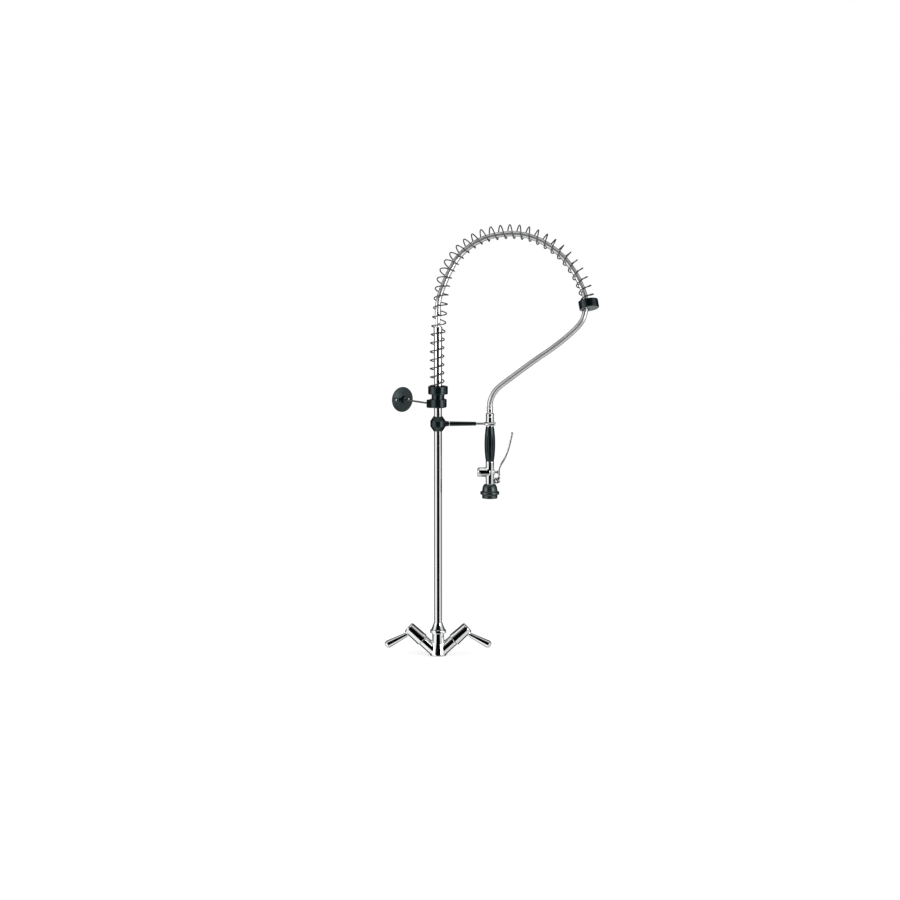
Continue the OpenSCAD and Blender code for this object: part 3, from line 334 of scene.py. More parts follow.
class BraidWeave(ShaderGroup):
    """Two sets of strands that cross round a tube, read from its UV map."""

    NAME = "Braid weave"
    SOCKETS = (
        ("UV", "INPUT", "NodeSocketVector"),
        ("Strands around", "INPUT", "NodeSocketFloat"),
        ("Strands along", "INPUT", "NodeSocketFloat"),
        ("Strand", "OUTPUT", "NodeSocketFloat"),
        ("Height", "OUTPUT", "NodeSocketFloat"),
    )

    RIDGE: Ramp = (-0.7, 1.0, 0.0, 1.0)  # the round back of a strand, from a sine
    UNDER, OVER = 0.35, 1.0  # height of a strand where it passes under or over another
    CROSSING: Ramp = (-0.3, 0.3, UNDER, OVER)

    @classmethod
    def wire(cls, graph: Graph, given: Mapping[str, Socket], result: Mapping[str, Socket]) -> None:
        """Winds the strands both ways round the tube and passes them over and under.

        Args:
            graph: The group's node tree.
            given: The sockets that bring the group's inputs.
            result: The sockets that take its outputs.
        """
        split = graph.add("ShaderNodeSeparateXYZ")
        graph.feed(split.inputs[0], given["UV"])
        around = graph.math("MULTIPLY", split.outputs["X"], given["Strands around"])
        along = graph.math("MULTIPLY", split.outputs["Y"], given["Strands along"])
        ridges = []
        for operation in ("ADD", "SUBTRACT"):
            turn = graph.math("MULTIPLY", graph.math(operation, around, along), FULL_TURN)
            ridges.append(graph.remap(graph.math("SINE", turn), cls.RIDGE))
        weave = graph.math("MULTIPLY", graph.math("SUBTRACT", around, along), math.pi)
        over = graph.remap(graph.math("SINE", weave), cls.CROSSING)
        under = graph.math("SUBTRACT", cls.UNDER + cls.OVER, over)
        strand = graph.math("MAXIMUM", graph.math("MULTIPLY", ridges[0], over),
                            graph.math("MULTIPLY", ridges[1], under))
        graph.feed(result["Strand"], strand)
        graph.feed(result["Height"], strand)


# ------------------------------------------------------------------ finishes


@dataclass(frozen=True)
class SurfaceFinish:
    """What every finish has.

    Attributes:
        title: Name of the material.
        slot: The record's material slot; not used.
    """

    title: str
    slot: str

    def material(self) -> bpy.types.Material:
        """Finds the material, or builds it the first time.

        Returns:
            The material.
        """
        found = bpy.data.materials.get(self.title)
        if found:
            return found
        material = bpy.data.materials.new(self.title)
        material.use_nodes = True
        graph = Graph(material.node_tree)
        shader = graph.add("ShaderNodeBsdfPrincipled")
        self.shade(graph, shader)
        graph.close(shader.outputs[0])
        return material

    def shade(self, graph: Graph, shader: bpy.types.Node) -> None:
        """Feeds the shader, as each kind of finish says.

        Args:
            graph: The material's node tree.
            shader: Its Principled shader.
        """
        raise NotImplementedError


@dataclass(frozen=True)
class HardFinish(SurfaceFinish):
    """A finish of metal, plastic or rubber.

    Attributes:
        colour: Base colour, linear.
        worn: Colour where it is smudged or water has dried.
        metal: 1 on metal, 0 on the rest.
        rough: Roughness of a clean surface.
        smudge: How much smudges add to the roughness.
        marks: How strong the dried water marks are.
        grain: Height of the fine grain, from 0 to 1.
        depth: Depth of the grain in metres.
        shine: Specular level of a plastic or rubber.
        tint: Colour of the shine of a plastic or rubber.
    """

    colour: Point
    worn: Point
    metal: float
    rough: float
    smudge: float
    marks: float
    grain: float
    depth: float
    shine: float = 0.5
    tint: Point = (1.0, 1.0, 1.0)

    GRAIN_STRENGTH: ClassVar[float] = 0.6

    def shade(self, graph: Graph, shader: bpy.types.Node) -> None:
        """Feeds the shader from the handled surface.

        Args:
            graph: The material's node tree.
            shader: Its Principled shader.
        """
        surface = graph.add("ShaderNodeGroup", node_tree=HandledSurface.tree())
        graph.fill(surface, {
            "Position": graph.add("ShaderNodeTexCoord").outputs["Object"],
            "Colour": rgba(self.colour),
            "Worn colour": rgba(self.worn),
            "Roughness": self.rough,
            "Smudge": self.smudge,
            "Marks": self.marks,
            "Grain": self.grain,
        })
        graph.fill(shader, {
            "Base Color": surface.outputs["Colour"],
            "Roughness": surface.outputs["Roughness"],
            "Normal": graph.bump(surface.outputs["Height"], self.GRAIN_STRENGTH, self.depth),
            "Metallic": self.metal,
            "Specular IOR Level": self.shine,
            "Specular Tint": rgba(self.tint),
        })


@dataclass(frozen=True)
class BraidedHoseFinish(SurfaceFinish):
    """Grey braid under a clear, glossy skin.

    Attributes:
        strand: Colour of the strands.
        gap: Colour between the strands.
        around: Strands round the hose.
        along: Strands along the whole hose.
        depth: Depth of the weave in metres.
        skin: Weight of the clear skin.
        skin_rough: Roughness of the clear skin.
    """

    strand: Point
    gap: Point
    around: float
    along: float
    depth: float
    skin: float
    skin_rough: float

    WEAVE_STRENGTH: ClassVar[float] = 0.2
    TONES_PER_M: ClassVar[float] = 60.0
    TONE: ClassVar[Ramp] = (0.3, 0.7, 0.8, 1.0)
    ROUGHNESS: ClassVar[Ramp] = (0.0, 1.0, 0.22, 0.13)  # between the strands and on them
    METAL: ClassVar[Ramp] = (0.05, 0.6, 0.45, 0.80)  # between the strands and on them

    def shade(self, graph: Graph, shader: bpy.types.Node) -> None:
        """Feeds the shader from the weave, with painted shade where strands dip under others, and
        a slow change of tone along the hose.

        Args:
            graph: The material's node tree.
            shader: Its Principled shader.
        """
        where = graph.add("ShaderNodeTexCoord").outputs
        braid = graph.add("ShaderNodeGroup", node_tree=BraidWeave.tree())
        graph.fill(braid, {"UV": where["UV"], "Strands around": self.around,
                           "Strands along": self.along})
        strand = braid.outputs["Strand"]
        tone = graph.remap(graph.noise(where["Object"], self.TONES_PER_M), self.TONE)
        # The base colour follows the weave's height: each strand fades into the gap's own colour
        # at its edges, and painted shade darkens it where it dips under a crossing strand.
        shade = graph.math("MULTIPLY", strand, tone)
        graph.fill(shader, {
            "Base Color": graph.mix(shade, self.gap, self.strand),
            "Roughness": graph.remap(strand, self.ROUGHNESS),
            "Metallic": graph.remap(strand, self.METAL),
            "Normal": graph.bump(braid.outputs["Height"], self.WEAVE_STRENGTH, self.depth),
            "Coat Weight": self.skin,
            "Coat Roughness": self.skin_rough,
        })


class Finish(Enum):
    """The finishes of the faucet."""

    CHROME = HardFinish(
        "Chrome plate", "chrome", colour=(0.88, 0.89, 0.90), worn=(0.80, 0.81, 0.82), metal=1.0,
        rough=0.045, smudge=0.035, marks=0.6, grain=0.15, depth=0.000004)
    # The wire's colours are painted shade: polished wire darkened well below its own brightness,
    # to stand in for the dark surroundings that its thin coils mirror.
    WIRE = HardFinish(
        "Bright spring wire", "steel", colour=(0.13, 0.132, 0.136), worn=(0.09, 0.092, 0.095),
        metal=1.0, rough=0.06, smudge=0.05, marks=0.5, grain=0.4, depth=0.00001)
    STEEL = HardFinish(
        "Drawn steel", "steel", colour=(0.46, 0.45, 0.44), worn=(0.36, 0.35, 0.34), metal=1.0,
        rough=0.30, smudge=0.10, marks=0.5, grain=0.6, depth=0.00002)
    BRASS = HardFinish(
        "Turned brass", "brass", colour=(0.78, 0.60, 0.30), worn=(0.55, 0.40, 0.20), metal=1.0,
        rough=0.22, smudge=0.12, marks=0.3, grain=0.5, depth=0.00002)
    CERAMIC = HardFinish(
        "Lapped ceramic", "ceramic", colour=(0.86, 0.84, 0.80), worn=(0.78, 0.76, 0.72), metal=0.0,
        rough=0.18, smudge=0.08, marks=0.2, grain=0.3, depth=0.00001)
    RUBBER = HardFinish(
        "Black rubber", "black_rubber", colour=(0.006, 0.011, 0.011), worn=(0.014, 0.020, 0.020),
        metal=0.0, rough=0.26, smudge=0.06, marks=0.5, grain=0.7, depth=0.00003,
        shine=1.0, tint=(0.84, 0.99, 1.0))
    PLASTIC = HardFinish(
        "Black moulded plastic", "black_plastic", colour=(0.0012, 0.0034, 0.0038),
        worn=(0.004, 0.008, 0.009), metal=0.0, rough=0.22, smudge=0.07, marks=0.4, grain=0.8,
        depth=0.00003, shine=0.6, tint=(0.74, 0.97, 1.0))
    HOSE = BraidedHoseFinish(
        "Braided hose", "hose_pvc", strand=(0.88, 0.89, 0.89), gap=(0.40, 0.405, 0.40),
        around=8.0, along=160.0, depth=0.0001, skin=0.8, skin_rough=0.06)

    def dress(self, piece: bpy.types.Object) -> None:
        """Gives a piece this finish as its only material.

        Args:
            piece: A mesh object.
        """
        piece.data.materials.clear()
        piece.data.materials.append(self.value.material())


# ---------------------------------------------------------------- mesh helpers


def new_object(name: str, data: bpy.types.ID) -> bpy.types.Object:
    """Puts a mesh, curve, lamp or camera into the scene.

    Args:
        name: Name of the object.
        data: What it shows.

    Returns:
        The new object.
    """
    thing = bpy.data.objects.new(name, data)
    bpy.context.scene.collection.objects.link(thing)
    return thing


def finished_mesh(source: bpy.types.Object) -> bpy.types.Mesh:
    """Makes a curve or a mesh with its modifiers one plain mesh, and removes the object.

    Args:
        source: The object.

    Returns:
        The new mesh.
    """
    bpy.context.view_layer.update()
    done = source.evaluated_get(bpy.context.evaluated_depsgraph_get())
    mesh = bpy.data.meshes.new_from_object(done)
    bpy.data.objects.remove(source)
    return mesh


def weld(mesh: bpy.types.Mesh, distance: float, turn_out: bool = False) -> None:
    """Merges a mesh's doubled corners.

    Args:
        mesh: The mesh.
        distance: How near to each other doubles lie, in metres.
        turn_out: Whether its faces are then turned outwards.
    """
    work = bmesh.new()
    work.from_mesh(mesh)
    bmesh.ops.remove_doubles(work, verts=work.verts, dist=distance)
    if turn_out:
        bmesh.ops.recalc_face_normals(work, faces=work.faces)
    work.to_mesh(mesh)
    work.free()


def smooth_point(points: Sequence[Vector], place: float) -> Vector:
    """A point on the smooth curve through the points.

    Args:
        points: The curve's points.
        place: Where on the curve, counted in points from the first.

    Returns:
        The point.
    """
    i = max(0, min(int(math.floor(place)), len(points) - 2))
    p1, p2 = points[i], points[i + 1]
    p0 = points[i - 1] if i > 0 else 2 * p1 - p2
    p3 = points[i + 2] if i + 2 < len(points) else 2 * p2 - p1
    t = place - i
    return 0.5 * (2 * p1 + (p2 - p0) * t + (2 * p0 - 5 * p1 + 4 * p2 - p3) * t * t
                  + (3 * p1 - p0 - 3 * p2 + p3) * t ** 3)


def tube_piece(name: str, centres: Sequence[Vector], radius: float,
               roundness: int) -> bpy.types.Object:
    """Sweeps a round tube with closed ends along a line, with a UV map round and along it.

    Args:
        name: Name of the piece.
        centres: Points of the tube's centre line.
        radius: Radius of the tube.
        roundness: Bevel resolution of the curve that the tube is swept with.

    Returns:
        The new piece.
    """
    weld_share = 0.01  # of the radius, how near to each other doubled corners lie
    cap_edge = math.radians(50)  # a steeper edge, as round a cap, stays sharp
    curve = bpy.data.curves.new(name + "_line", "CURVE")
    curve.dimensions = "3D"
    curve.bevel_depth = radius
    curve.bevel_resolution = roundness
    curve.use_fill_caps = True
    curve.twist_mode = "MINIMUM"
    spline = curve.splines.new("POLY")
    spline.points.add(len(centres) - 1)
    for point, centre in zip(spline.points, centres):
        point.co = (*centre, 1.0)
    mesh = finished_mesh(new_object(name + "_line", curve))
    weld(mesh, radius * weld_share, turn_out=True)
    mesh.shade_smooth()
    mesh.set_sharp_from_angle(angle=cap_edge)
    mesh.name = name
    return new_object(name, mesh)


# ------------------------------------------------------------- sub-assemblies


@dataclass(frozen=True)
class Rounding:
    """How the edges and inner corners of a polished casting are rounded.

    Attributes:
        passes: How many times its fine mesh is smoothed.
        voxel: Size of that mesh, in metres.
        swell: How far a thin form is let out first, because smoothing draws it in, in metres.
    """

    passes: int
    voxel: float = 0.0005
    swell: float = 0.0


@dataclass
class FaucetPart:
    """A sub-assembly: CAD nodes that get their finishes, and the pieces that it adds.

    Attributes:
        NODES: CAD node names for each finish.
    """

    NODES: ClassVar[dict[Finish, tuple[str, ...]]] = {}

    def build(self, frame: dict) -> None:
        """Dresses the CAD nodes of the sub-assembly.

        Args:
            frame: The loaded frame.
        """
        for finish, names in self.NODES.items():
            for name in names:
                finish.dress(frame["nodes"][name])
                log.info("%s gets %s", name, finish.value.title)

    def stand_for(self, piece: bpy.types.Object, node: str, body: str, finish: Finish) -> None:
        """Puts a rigid piece in the place of a CAD node.

        Args:
            piece: The new piece.
            node: The CAD node that it stands for.
            body: The body that it rides on.
            finish: The finish that it gets.
        """
        finish.dress(piece)
        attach(piece, body)
        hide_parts(node)
        log.info("%s stands for %s, %d faces", piece.name, node, len(piece.data.polygons))

    def soften(self, frame: dict, node: str, finish: Finish, rounding: Rounding) -> None:
        """Stands a copy of a CAD node with rounded edges in its place.

        Args:
            frame: The loaded frame.
            node: Name of the CAD node.
            finish: The finish that it gets.
            rounding: How it is rounded.
        """
        doubles = 0.000002  # how near to each other doubled corners lie, in metres
        half_way = 0.5  # a pass takes each corner half way to the middle of its neighbours
        source = frame["nodes"][node]
        mesh = source.data.copy()
        weld(mesh, doubles)
        rough = new_object(node + "_rough", mesh)
        fine = rough.modifiers.new("Fine", "REMESH")
        fine.mode = "VOXEL"
        fine.voxel_size = rounding.voxel
        let_out = rough.modifiers.new("Let out", "DISPLACE")
        let_out.strength = rounding.swell
        let_out.mid_level = 0.0
        polish = rough.modifiers.new("Polish", "SMOOTH")
        polish.factor = half_way
        polish.iterations = rounding.passes
        smooth = finished_mesh(rough)
        smooth.shade_smooth()
        self.stand_for(new_object(node + "_casting", smooth), node, source["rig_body"], finish)


@dataclass
class Hose(FaucetPart):
    """The free hose from the tail on the column to the swivel of the gun.

    Attributes:
        floor: Height of the spring seat's floor, which the route is counted from.
        diameter: Outer diameter in metres.
        rings: Rings of the tube per point of the route.
        roundness: Bevel resolution of the tube.
        blend_top: Where the hose begins to follow the gun; not used.
        blend_foot: Where it follows the gun in full; not used.
        route: X, Y and height above the floor of the route's points, in millimetres.
    """

    floor: float = 728.0
    diameter: float = 0.0155
    rings: int = 12
    roundness: int = 5
    blend_top: Point = (0.140, 0, 0.915)
    blend_foot: Point = (0.140, 0, 0.681)
    route: tuple[Point, ...] = (
        (0, 0, 202), (0, 0, 217), (0, 0, 226), (2.4, 2.2, 242), (8.2, 8.2, 262),
        (17, 17, 284), (29.5, 26, 312), (52, 36.5, 350), (85, 45.5, 381), (125, 50, 403),
        (171, 52, 413.5), (217, 51, 414.5), (261, 47, 403.5), (303, 39, 381), (339, 26, 351),
        (367.5, 9, 312.5), (387, -6.5, 272.5), (394, -16.5, 248), (395.5, -24, 222.5),
        (392.5, -29.5, 205), (387, -32, 189.5), (377, -33, 175), (363, -32, 160),
        (336, -29, 136), (304, -26, 111), (263, -20, 82), (222.5, -13, 51.5), (198.5, -9, 33),
        (179.5, -5.5, 18.5), (161.5, -2.5, 3.5), (150.5, -1, -10.5), (144, -0.5, -23.5),
        (140.8, 0, -34.5), (140, 0, -43.5), (140, 0, -47), (140, 0, -61),
    )

    def centres(self) -> list[Vector]:
        """Follows the route smoothly.

        Returns:
            Points of the centre line, in metres.
        """
        points = [Vector((x, y, self.floor + z)) / MM_PER_M for x, y, z in self.route]
        count = (len(points) - 1) * self.rings
        return [smooth_point(points, i / self.rings) for i in range(count + 1)]

    def build(self, frame: dict) -> None:
        """Args:
            frame: The loaded frame; not used.
        """
        centres = self.centres()
        piece = tube_piece("braided_hose", centres, self.diameter / 2, self.roundness)
        Finish.HOSE.dress(piece)
        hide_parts("hose")
        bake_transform(piece)


@dataclass
class ArchSpring(FaucetPart):
    """The open spring that carries the hose, its two collars and the hose's upper ferrule.

    Attributes:
        floor: Height of the seat's floor, in millimetres.
        coil_radius: Radius to the middle of the wire, in millimetres.
        wire: Diameter of the wire, in millimetres.
        bend: Radius of the bends at the wire's ends, in millimetres.
        tilt: Slope of the end collar away from the column, in degrees.
        lean: Slope of the end collar towards the front, in degrees.
        coils: Coils per point of the arch.
        start: Turn of the wire at the first point of the arch, in degrees.
        steps: Rings of the wire per coil.
        roundness: Bevel resolution of the wire.
        arch: X, Y and height above the floor of the points of the coils' centre line.
    """

    NODES = {
        Finish.PLASTIC: ("spring_seat", "end_collar"),
        Finish.CHROME: ("top_ferrule",),
    }
    BEND_ANGLES: ClassVar[tuple[int, ...]] = (15, 30, 45, 60, 72)  # rings of a bend, in degrees
    HALF_POINT: ClassVar[float] = 0.5  # stretch of the arch that the climb is taken over
    NEAR: ClassVar[float] = 0.02  # share of a point over which a direction is taken

    floor: float = 728.0
    coil_radius: float = 18.5
    wire: float = 3.5
    bend: float = 4.0
    tilt: float = 9.5
    lean: float = 20.0
    coils: int = 2
    start: float = 180.0
    steps: int = 30
    roundness: int = 2
    arch: tuple[Point, ...] = (
        (-1, 0, -13), (-2.5, -2, 33), (-2.5, -1.5, 78), (-2, 0, 124), (1.5, 0.5, 169),
        (6, 1.5, 218), (11, 12, 268), (23, 26, 314), (47, 39, 353), (81, 47, 386),
        (122, 51, 409), (170, 53, 419.4), (218, 52, 420.3), (264, 48, 408.8), (307, 40, 386),
        (344, 27, 355), (373, 10, 316), (393, -7, 274), (403, -23, 233),
    )

    def turn(self, place: float) -> float:
        """The turn of the wire, in degrees, at a place counted in points of the arch."""
        return self.start + place * 360 * self.coils

    def ring(self, centre: Vector, way: Vector, turn: float) -> Vector:
        """A point of the wire's centre line.

        Args:
            centre: Middle of the coil there.
            way: Direction of the coil's own centre line.
            turn: Turn of the coil, in degrees.

        Returns:
            The point, in metres.
        """
        angle = math.radians(turn)
        side = Vector((way.z, 0.0, -way.x)).normalized()
        out = math.cos(angle) * side + math.sin(angle) * way.cross(side)
        return (centre + self.coil_radius * out) / MM_PER_M

    def end(self, centre: Vector, way: Vector, turn: float, slope: float,
            sign: int) -> list[Vector]:
        """The straight end of the wire and its bend, from the floor up.

        Args:
            centre: Middle of the coil on its floor.
            way: Direction off the floor, or onto it at the far end.
            turn: Turn where the coils begin, in degrees.
            slope: Climb of the coils, in degrees.
            sign: 1 at the seat and -1 at the end collar.

        Returns:
            Points of the wire.
        """
        def spin(angle: float) -> float:
            """How far the wire has turned when its bend has come to an angle, in degrees."""
            return math.degrees(self.bend * (1 - math.cos(math.radians(angle))) / self.coil_radius)

        places = [(0.0, 0.0), (self.wire, 0.0)]
        places += [(self.wire + self.bend * math.sin(math.radians(angle)), spin(angle))
                   for angle in self.BEND_ANGLES]
        reach = spin(90 - slope)
        return [self.ring(centre + sign * rise * way, way, turn + sign * (turned - reach))
                for rise, turned in places]

    def centres(self) -> list[Vector]:
        """Winds the wire from its straight end on the seat to the one on the end collar.

        Returns:
            Points of the wire's centre line, in metres.
        """
        points = [Vector((x, y, self.floor + z)) for x, y, z in self.arch]
        first = -self.arch[0][2] / (self.arch[1][2] - self.arch[0][2])
        last = len(points) - 1
        begin = smooth_point(points, first)
        span = (smooth_point(points, first + self.HALF_POINT) - begin).length / self.HALF_POINT
        slope = math.degrees(math.atan(span / self.coils / (FULL_TURN * self.coil_radius)))
        lift = (self.wire + self.bend * math.sin(math.radians(90 - slope))) / span
        low, high = first + lift, last - lift
        count = math.ceil((high - low) * self.coils * self.steps)
        up = Vector((0.0, 0.0, 1.0))
        tilt, lean = math.radians(self.tilt), math.radians(self.lean)
        down = Vector((math.sin(tilt) * math.cos(lean), -math.sin(lean),
                       -math.cos(tilt) * math.cos(lean)))
        line = self.end(begin, up, self.turn(low), slope, 1)
        for i in range(count + 1):
            place = low + (high - low) * i / count
            ahead, behind = (smooth_point(points, place + d) for d in (self.NEAR, -self.NEAR))
            way = (ahead - behind).normalized()
            line.append(self.ring(smooth_point(points, place), way, self.turn(place)))
        return line + self.end(smooth_point(points, last), down, self.turn(high), slope, -1)[::-1]

    def build(self, frame: dict) -> None:
        """Dresses the collars and the ferrule, and winds the spring.

        Args:
            frame: The loaded frame.
        """
        super().build(frame)
        radius = self.wire / 2 / MM_PER_M
        piece = tube_piece("arch_spring", self.centres(), radius, self.roundness)
        self.stand_for(piece, "spring", "arch", Finish.WIRE)


@dataclass
class MixerBase(FaucetPart):
    """The cast foot with its two sloping arms, the valves inside them and the lever handles.

    Attributes:
        casting: Rounding of the foot, which gives its arms their soft blends.
    """

    NODES = {
        Finish.CHROME: ("left_hub", "right_hub", "left_lever", "right_lever"),
        Finish.STEEL: ("left_grub_screw", "right_grub_screw"),
        Finish.BRASS: ("left_valve_body", "right_valve_body", "left_spindle", "right_spindle"),
        Finish.CERAMIC: ("left_fixed_disc", "right_fixed_disc",
                         "left_moving_disc", "right_moving_disc"),
        Finish.RUBBER: ("base_gasket", "left_seat_seal", "right_seat_seal"),
    }

    casting: Rounding = Rounding(passes=20, voxel=0.0008)

    def build(self, frame: dict) -> None:
        """Dresses the valves and handles, and rounds the foot.

        Args:
            frame: The loaded frame.
        """
        super().build(frame)
        self.soften(frame, "base_body", Finish.CHROME, self.casting)


@dataclass
class Column(FaucetPart):
    """The riser with its nuts and the thin tail that the hose is pressed on."""

    NODES = {
        Finish.CHROME: ("column_nut", "riser_tube", "union_nut", "hose_tail"),
        Finish.RUBBER: ("column_seal", "union_washer"),
    }


@dataclass
class WallBracket(FaucetPart):
    """The clamp on the column, the rod and the flange that is screwed to the wall."""

    NODES = {
        Finish.PLASTIC: ("wall_clamp", "rod_socket", "wall_flange"),
        Finish.STEEL: ("wall_rod", "flange_grub_screw"),
    }


@dataclass
class SprayHolder(FaucetPart):
    """The ball shaped clamp with the sleeved arm that ends in an open fork."""

    NODES = {
        Finish.PLASTIC: ("holder_clamp", "holder_sleeve"),
        Finish.CHROME: ("holder_fork",),
        Finish.STEEL: ("holder_set_screw",),
    }


@dataclass
class SprayGun(FaucetPart):
    """The spray gun with its castings, its bumper and the spring behind its valve.

    Attributes:
        coil_radius: Radius to the middle of the valve spring's wire, in metres.
        wire: Diameter of the wire, in metres.
        turns: Turns of the wire, with the half turn that lies flat at each end.
        travel: How far the squeezed lever presses the valve, in metres; not used.
        steps: Rings of the wire per turn.
        roundness: Bevel resolution of the wire.
        body: Rounding of the valve body and its side boss.
        lever: Rounding of the squeeze lever.
        bumper: Rounding of the rubber bumper.
    """

    NODES = {
        Finish.CHROME: ("gun_ferrule", "swivel_cap", "swivel_sleeve", "handle_tube", "side_cap",
                        "stem_gland", "spray_housing", "face_ring"),
        Finish.PLASTIC: ("grip",),
        Finish.RUBBER: ("swivel_washer", "valve_washer", "stem_seal", "face_seal"),
        Finish.STEEL: ("valve_stem", "lever_pin", "spray_face"),
    }
    FLAT_END: ClassVar[float] = 0.5  # turns that lie flat at each end of the valve spring

    coil_radius: float = 0.0055
    wire: float = 0.0012
    turns: float = 6.0
    travel: float = 0.0069
    steps: int = 24
    roundness: int = 2
    body: Rounding = Rounding(passes=40)
    lever: Rounding = Rounding(passes=48, swell=0.0006)
    bumper: Rounding = Rounding(passes=12)

    def valve_line(self, low: Vector, high: Vector) -> list[Vector]:
        """The centre line of the valve spring's wire.

        Args:
            low: Lowest corner of the room that it has.
            high: Highest corner of that room.

        Returns:
            Points of the wire, in metres.
        """
        middle = (low + high) / 2
        first, rise = low.x + self.wire / 2, high.x - low.x - self.wire
        count = round(self.turns * self.steps)
        climb = self.turns - 2 * self.FLAT_END
        line = []
        for i in range(count + 1):
            turn = self.turns * i / count
            share = min(max((turn - self.FLAT_END) / climb, 0.0), 1.0)
            angle = FULL_TURN * turn
            out = Vector((0.0, math.cos(angle), math.sin(angle))) * self.coil_radius
            line.append(Vector((first + share * rise, middle.y, middle.z)) + out)
        return line

    def build(self, frame: dict) -> None:
        """Dresses the gun, winds its valve spring, and rounds its castings and its bumper.

        Args:
            frame: The loaded frame.
        """
        super().build(frame)
        low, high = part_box("valve_spring")
        line = self.valve_line(low, high)
        piece = tube_piece("valve_coil", line, self.wire / 2, self.roundness)
        self.stand_for(piece, "valve_spring", "gun", Finish.STEEL)
        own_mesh(piece)
        self.soften(frame, "gun_body", Finish.CHROME, self.body)
        self.soften(frame, "squeeze_lever", Finish.CHROME, self.lever)
        self.soften(frame, "bumper", Finish.RUBBER, self.bumper)


# -------------------------------------------------------------------- studio


@dataclass(frozen=True)
class MirroredRoom:
    """The world: plain daylight on the object, and the room that shiny surfaces mirror.

    That room is white, with a narrow dark gap in front, dark walls to both sides of the back
    and a dark ceiling. A direction is told by its height, from -1 to 1, by its X, and by its
    front: 1 straight ahead of the object and -1 straight behind it, at any height.

    Attributes:
        daylight: Strength of the world on the object.
        turn: How far the front is turned to the spray side.
        gap_side: By height, how near to the front the gap begins.
        gap_edge: Softness of the gap's sides.
        gap_top: By height, where the gap ends.
        back: By front, how dark the walls behind are.
        back_strip: By front, the bright strip straight behind.
        ceiling: By height, how dark the ceiling is.
        ceiling_side: By X, where the ceiling ends.
        ceiling_top: By height, where the ceiling opens.
        side_wall: By X, how the light falls off to the spray side.
    """

    daylight: float = 0.80
    turn: float = 0.05
    gap_side: Ramp = (-0.55, -0.15, 0.985, 0.80)
    gap_edge: Ramp = (0.0, 0.03, 0.0, 1.0)
    gap_top: Ramp = (0.76, 0.86, 1.0, 0.0)
    back: Ramp = (-0.38, 0.08, 0.96, 0.0)
    back_strip: Ramp = (-0.97, -0.90, 0.1, 1.0)
    ceiling: Ramp = (0.0, 0.14, 0.0, 0.86)
    ceiling_side: Ramp = (0.60, 0.70, 1.0, 0.0)
    ceiling_top: Ramp = (0.74, 0.9, 1.0, 0.0)
    side_wall: Ramp = (-0.2, 0.5, 1.0, 0.74)

    def darkness(self, graph: Graph, x: Socket, y: Socket, height: Socket) -> Socket:
        """How dark the mirrored room is in a direction.

        Args:
            graph: The world's node tree.
            x: X of the direction.
            y: Y of the direction.
            height: Z of the direction.

        Returns:
            The darkness, from 0 to 1.
        """
        least = 0.001  # keeps the division whole straight up and down
        flat = graph.math("SQRT", graph.math("ADD", graph.math("POWER", x, 2.0),
                                             graph.math("POWER", y, 2.0)))
        ahead = graph.math("SUBTRACT", graph.math("MULTIPLY", x, self.turn), y)
        front = graph.math("DIVIDE", ahead, graph.math("MAXIMUM", flat, least))
        inside = graph.math("SUBTRACT", front, graph.remap(height, self.gap_side))
        gap = graph.math("MULTIPLY", graph.remap(inside, self.gap_edge),
                         graph.remap(height, self.gap_top))
        back = graph.math("MULTIPLY", graph.remap(front, self.back),
                          graph.remap(front, self.back_strip))
        wide = graph.remap(graph.math("ABSOLUTE", x), self.ceiling_side)
        above = graph.math("MULTIPLY", graph.math("MULTIPLY", graph.remap(height, self.ceiling),
                                                  wide), graph.remap(height, self.ceiling_top))
        return graph.math("MAXIMUM", graph.math("MAXIMUM", gap, back), above)

    def build(self) -> None:
        """Sets the world up, white to the camera and through glass."""
        world = bpy.data.worlds.new("room")
        bpy.context.scene.world = world
        world.use_nodes = True
        graph = Graph(world.node_tree)
        split = graph.add("ShaderNodeSeparateXYZ")
        graph.feed(split.inputs[0], graph.add("ShaderNodeTexCoord").outputs["Generated"])
        x, y, height = split.outputs
        bright = graph.math("SUBTRACT", 1.0, self.darkness(graph, x, y, height))
        mirrored = graph.math("MULTIPLY", bright, graph.remap(x, self.side_wall))
        rays = graph.add("ShaderNodeLightPath").outputs
        glossy = rays["Is Glossy Ray"]
        light = graph.math("ADD", graph.math("MULTIPLY", glossy, mirrored),
                           graph.math("MULTIPLY", graph.math("SUBTRACT", 1.0, glossy),
                                      self.daylight))
        seen = graph.math("MAXIMUM", rays["Is Camera Ray"], rays["Is Transmission Ray"])
        unseen = graph.math("SUBTRACT", 1.0, seen)
        background = graph.add("ShaderNodeBackground")
        graph.fill(background, {
            "Color": (1.0, 1.0, 1.0, 1.0),
            "Strength": graph.math("ADD", graph.math("MULTIPLY", light, unseen), seen),
        })
        graph.close(background.outputs[0], "ShaderNodeOutputWorld")


